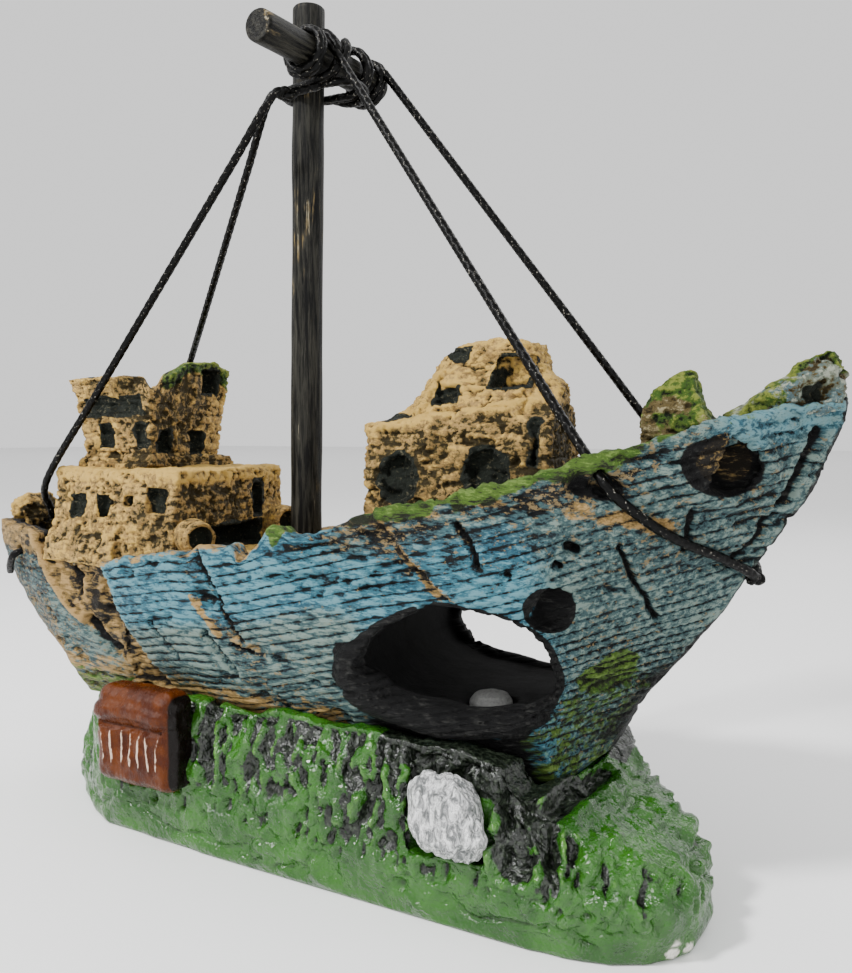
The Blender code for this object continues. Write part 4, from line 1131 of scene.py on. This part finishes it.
def boulder():
    """The silver stone, brushed downwards and leaning aft."""
    piece = fused("silver_boulder", [NODES["silver_rock"].data], FINE_VOXEL, 40)
    p, n = skin(piece)
    lift = 0.1 + 0.9 * layers(p, 4.0, 3, 411) + 0.7 * layers(p * (1, 1, 0.3), 1.3, 3, 412, 0.65)
    p = p + n * lift[:, None]
    p[:, 0] -= 0.16 * (p[:, 2] - 11.7) * ramp(19.0, 25.0, p[:, 0])
    finish_skin(piece, p, {}, 2.4)
    settle(piece, silver_paint(), "silver_rock")


# Spars and rigging -----------------------------------------------------------------------


def even_path(route, spacing, closed=False):
    """Evenly spaced points on a smooth curve through the route."""
    route = [Vector(p) for p in route]
    count, dense = len(route), []
    for i in range(count if closed else count - 1):
        if closed:
            a, b, c, d = (route[(i + k) % count] for k in (-1, 0, 1, 2))
        else:
            b, c = route[i], route[i + 1]
            a = route[i - 1] if i else b * 2 - c
            d = route[i + 2] if i + 2 < count else c * 2 - b
        for k in range(24):
            t = k / 24
            dense.append(
                0.5 * (2 * b + (c - a) * t + (2 * a - 5 * b + 4 * c - d) * t**2)
                + 0.5 * (3 * b - a - 3 * c + d) * t**3
            )
    dense.append(route[0] if closed else route[-1])
    steps = [0.0]
    for a, b in zip(dense, dense[1:]):
        steps.append(steps[-1] + (b - a).length)
    count = max(4, round(steps[-1] / spacing))
    wanted = np.linspace(0, steps[-1], count + 1)
    xyz = np.array([tuple(p) for p in dense])
    return [Vector([np.interp(w, steps, xyz[:, i]) for i in range(3)]) for w in wanted]


def braid(name, route, closed=False, radius=CORD_R):
    """A round braided cord: two families of strands crossing over and under."""
    sides, spacing, twist = 16, 0.11, 2.7
    path = even_path(route, spacing, closed)
    proud = []

    def height(i, angle):
        along = i * spacing / twist * math.tau
        one = math.cos(4 * angle + along * 2)
        two = math.cos(4 * angle - along * 2)
        value = max(one, two) * 0.5 + 0.5
        proud.append(value)
        return radius * (0.86 + 0.18 * value)

    points, faces = tube(path, height, sides)
    if closed:
        last = (len(path) - 1) * sides
        faces = [tuple(v if v < last else v - last for v in f) for f in faces[:-2]]
        points, proud = points[:last], proud[:last]
    piece = add(name, from_points(name, points, faces))
    paint_mask(piece, "proud", np.array(proud))
    CORD_PAINT.put_on(piece)
    return piece


CORD_PAINT = cord_paint()
LEAN = Vector((0, 0, 1)).rotation_difference(MAST_TOP - MAST_FOOT)
CROSSING = MAST_FOOT.lerp(MAST_TOP, (YARD_Z - MAST_FOOT.z) / (MAST_TOP.z - MAST_FOOT.z))
YARD_OUT = MAST_R + GAP + YARD_R


def by_crossing(x, y, z):
    """A place given from where the mast's and the yard's heights cross, along the mast's lean."""
    return CROSSING + LEAN @ Vector((x, y, z))


def dowel(name, node, start, end, radius, lengthwise, body):
    """A hand-cut dowel: slightly oval, with shallow flats, cracks and chipped ends."""
    start, end = Vector(start), Vector(end)
    length = (end - start).length
    steps = int(length / (0.25))
    path = [start.lerp(end, i / steps) for i in range(steps + 1)]

    def height(i, angle):
        end_gap = min(i, steps - i) * length / steps
        return radius * (1.0 - 0.10 * max(0.0, 1.0 - end_gap / 0.35) ** 2)

    piece = add(name, from_points(name, *tube(path, height, 40)))
    p, n = skin(piece)
    streak = p * [0.12 if i == lengthwise else 1.0 for i in range(3)]
    lift = 0.06 * layers(streak, 1.0, 3, 501) + 0.05 * noise(p, 6.0, 502)
    lift -= 0.16 * ramp(0.62, 0.8, layers(streak, 0.8, 2, 503))
    ends = abs(n[:, lengthwise]) > 0.7
    move_to(piece, p + n * np.where(ends, 0.0, lift)[:, None])
    piece.data.set_sharp_from_angle(angle=math.radians(50))
    settle(piece, wood_paint(name + "_stain", lengthwise), node, body)


def lashing():
    """Turns that cross behind the mast and over the yard, with the tail knotted below."""
    turns = []
    for k, (spread, extra) in enumerate(((0.0, 0.0), (0.95, 0.1))):
        out = MAST_R + 0.72 + extra
        over = YARD_R + 0.84 + extra
        front = YARD_OUT + over
        half = [
            (-out, 0.0, over + spread * 0.4),
            (-out * 0.68, out * 0.72, over + spread * 0.3),
            (0.0, out, over),
            (YARD_OUT * 0.55, out + 0.1 + spread * 0.3, over),
            (YARD_OUT + over * 0.42, out + 0.1 + spread * 0.5, over * 0.92),
            (front, out + 0.1 + spread * 0.5, 0.0),
        ]
        loop = half + [(x, y, -z) for x, y, z in reversed(half[1:-1])]
        loop += [(-out, 0.0, -over - spread * 0.4)]
        loop += [(x, -y, -z) for x, y, z in half[1:]]
        loop += [(x, -y, z) for x, y, z in reversed(half[1:-1])]
        turns.append(braid(f"lashing_turn_{k}", [by_crossing(*q) for q in loop], True))
    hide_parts("yard_lashing")
    low = YARD_R + 1.3
    slack = [(1.0, 3.1, -low + 0.6), (3.4, 3.9, -low - 0.1), (6.2, 3.4, -low - 0.2), (7.6, 1.2, -low + 0.3)]
    slack += [(7.4, -1.6, -low + 0.4), (4.8, -3.1, -low + 0.1), (1.4, -3.1, -low + 0.4)]
    turns.append(braid("lashing_slack", [by_crossing(*q) for q in slack]))
    across = [(-2.6, 1.2, 3.0), (-1.0, 2.6, 3.3), (1.8, 2.6, 3.2), (4.2, 1.4, 2.9), (6.1, -0.6, 2.4)]
    across += [(7.6, -2.2, 0.6), (7.0, -3.4, -1.6), (4.6, -3.9, -2.8), (1.8, -3.4, -3.0)]
    turns.append(braid("lashing_diagonal", [by_crossing(*q) for q in across]))
    for turn in turns:
        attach(turn, "lashing")


def yard_rings():
    """Two turns round the yard on each side of the mast; the far fore stay is tied to the far pair."""
    for node, y, lean in (("yard_knot_near", -6.4, 0.5), ("yard_knot_far", 6.4, 0.7)):
        reach = YARD_R + 0.55
        rings = []
        for k, shift in enumerate((0.0, 0.95)):
            loop = []
            for i in range(14):
                angle = math.tau * i / 14
                slack = 0.4 if math.sin(angle) < -0.5 and k else 0.0
                away = reach + 0.05 * k + slack
                along = y + shift * lean + 0.4 * math.sin(angle)
                loop.append(by_crossing(YARD_OUT + away * math.cos(angle), along, away * math.sin(angle)))
            rings.append(braid(f"{node}_turn_{k}", loop, True))
        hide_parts(node)
        for ring in rings:
            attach(ring, "yard")


def side_point(x, z, side, lift=0.85):
    """A place just off the hull's side, where a cord can lie."""
    return Vector((x, side * (float(hull_half(x, z)) + lift), z))


def stays():
    """The four stays, from the lashing or the far turns on the yard to the ends of their runs on the hull."""
    tops = {-1: by_crossing(YARD_OUT + 0.6, -3.0, 2.8), 1: by_crossing(YARD_OUT + 2.6, 6.9, 1.0)}
    for side, name in ((-1, "fore_stay_near"), (1, "fore_stay_far")):
        rail = Vector((32.2, side * 13.2, 49.0))
        out = side_point(36.8, 43.4, side, 0.9)
        down = (out - rail).normalized()
        rail_in, out_end = rail - down * 1.5, out + down * 0.8
        route = [tops[side].lerp(rail_in, i / 6) for i in range(6)]
        route += [rail_in, rail_in.lerp(out_end, 0.5), out_end.lerp(rail_in, 0.15)]
        route += [side_point(x, z, side) for x, z in ((39.4, 40.8), (41.8, 38.8), (44.0, 37.4))]
        route += [Vector((45.9, side * 1.9, 35.8)), Vector((46.4, side * 0.5, 35.0))]
        piece = braid(name + "_cord", route)
        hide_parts(name)
        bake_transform(piece)
    for side, name, top, corner in (
        (-1, "aft_stay_near", (-7.8, -9.3, 88.9), (-37.6, -11.0, 53.8)),
        (1, "aft_stay_far", (-9.3, -8.2, 88.9), (-41.9, 10.9, 58.9)),
    ):
        inside = Vector((-51.8, side * 6.8, 34.2))
        out = side_point(-54.4, 32.0, side, 0.9)
        through = (out - inside).normalized()
        inner, outer = inside - through * 0.5, out + through * 0.8
        top, corner = Vector(top), Vector(corner)
        route = [Vector((-5.0, -4.0, 91.2)), Vector((-6.2, -6.2, 90.2))]
        route.append(Vector((-7.1, -7.8 - 0.2 * side, 89.5)))
        route += [top.lerp(corner, i / 5) for i in range(6)]
        route += [Vector((-48.2, side * 10.3, 42.8)), Vector((-50.4, side * 7.9, 38.4))]
        route += [inner, inner.lerp(outer, 0.5), outer.lerp(inner, 0.15)]
        route += [side_point(x, z, side) for x, z in ((-56.4, 30.4), (-58.0, 29.2))]
        piece = braid(name + "_cord", route)
        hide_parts(name)
        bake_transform(piece)


def knot(name, centre, size, body, node=None):
    """An overhand knot: a trefoil of cord drawn tight."""
    loop = []
    for i in range(24):
        t = math.tau * i / 24
        trefoil = (math.sin(t) + 2 * math.sin(2 * t), math.cos(t) - 2 * math.cos(2 * t), -math.sin(3 * t))
        loop.append(Vector(centre) + Vector(trefoil) * size)
    piece = braid(name, loop, True, CORD_R * 0.9)
    if node:
        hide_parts(node)
    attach(piece, body)


def air_parts():
    """The tube, barb and stone, in their own materials."""
    plain_paint("tube_skin", 1.2, (205, 214, 210), (226, 232, 228), 0.3, 0.03).put_on(NODES["air_channel"])
    plain_paint("barb_skin", 0.25, (20, 20, 21), (34, 34, 35), 0.35, 0.02).put_on(NODES["air_inlet"])
    piece = fused("stone_bubbler", [NODES["air_stone"].data], 0.12, 3)
    p, n = skin(piece)
    lift = 0.10 * layers(p, 0.6, 3, 601) - 0.14 * pits(p, 0.5, 0.6, 602)
    finish_skin(piece, p + n * lift[:, None], {}, 6.0)
    grit = Paint("stone_skin")
    specks = grit.noise(0.3, 5, 0.7)
    shade = grit.mix(specks, rgb(96, 98, 98), rgb(190, 190, 186))
    colour = grit.fade(grit.mask("hollow"), 0.1, 0.7, shade, rgb(40, 40, 40))
    settle(piece, grit.finish(colour, 0.9, specks, 0.08), "air_stone")


# Studio ----------------------------------------------------------------------------------


def studio():
    """A pale floor, soft lamps, and the camera low on the starboard bow."""
    floor = add("floor", from_points("floor", *slab((-3000, -3000, -20), (3000, 3000, -0.05))))
    m = Paint("floor_skin")
    m.link((*rgb(252, 252, 252), 1.0), m.shader.inputs["Base Color"])
    m.link(0.9, m.shader.inputs["Roughness"])
    m.put_on(floor)
    world = bpy.data.worlds.new("studio")
    world.use_nodes = True
    back = world.node_tree.nodes["Background"]
    back.inputs[0].default_value = (1, 1, 1, 1)
    back.inputs[1].default_value = 1.1
    bpy.context.scene.world = world
    turn, drop = math.radians(31.0), math.radians(3.06)  # the camera's heading and downward tilt
    right = Vector((math.cos(turn), math.sin(turn), 0))
    ahead = Vector((-math.sin(turn), math.cos(turn), 0))
    look = ahead * math.cos(drop) - Vector((0, 0, 1)) * math.sin(drop)
    place = Vector((-10, 0, 49.3)) + right * 15.2 - ahead * 127.0
    camera = add("camera", bpy.data.cameras.new("camera"))
    rotation = Matrix((right, right.cross(look), -look)).transposed()
    camera.matrix_world = Matrix.Translation(place * MM) @ rotation.to_4x4()
    camera.data.sensor_width = 36.0
    camera.data.lens = 36.37
    camera.data.clip_start = 0.005
    bpy.context.scene.camera = camera
    for name, offset, size, watts in (
        ("key", (-150, -300, 360), 60, 2.9),
        ("fill", (330, -260, 160), 260, 0.7),
        ("rim", (100, 330, 300), 220, 0.4),
    ):
        lamp = add(name, bpy.data.lights.new(name, "AREA"))
        lamp.data.energy = watts
        lamp.data.size = size * MM
        lamp.location = Vector(offset) * MM
        aim = (Vector((0, 0, 40)) * MM - lamp.location).to_track_quat("-Z", "Y")
        lamp.rotation_mode = "QUATERNION"
        lamp.rotation_quaternion = aim


studio()
hull()
reef()
cabins()
casks()
chest()
boulder()
dowel("mast_dowel", "mast", MAST_FOOT, MAST_TOP, MAST_R, 2, "wreck")
near_end, far_end = by_crossing(YARD_OUT, -14.7, 0), by_crossing(YARD_OUT, 9.2, 0)
dowel("yard_dowel", "yard", near_end, far_end, YARD_R, 1, "yard")
lashing()
yard_rings()
stays()
knot("stem_cord_knot", (46.2, 0.0, 34.8), 0.22, "wreck", "stem_knot")
knot("aft_stay_knot", (-7.0, -7.7, 89.5), 0.3, "lashing")
air_parts()
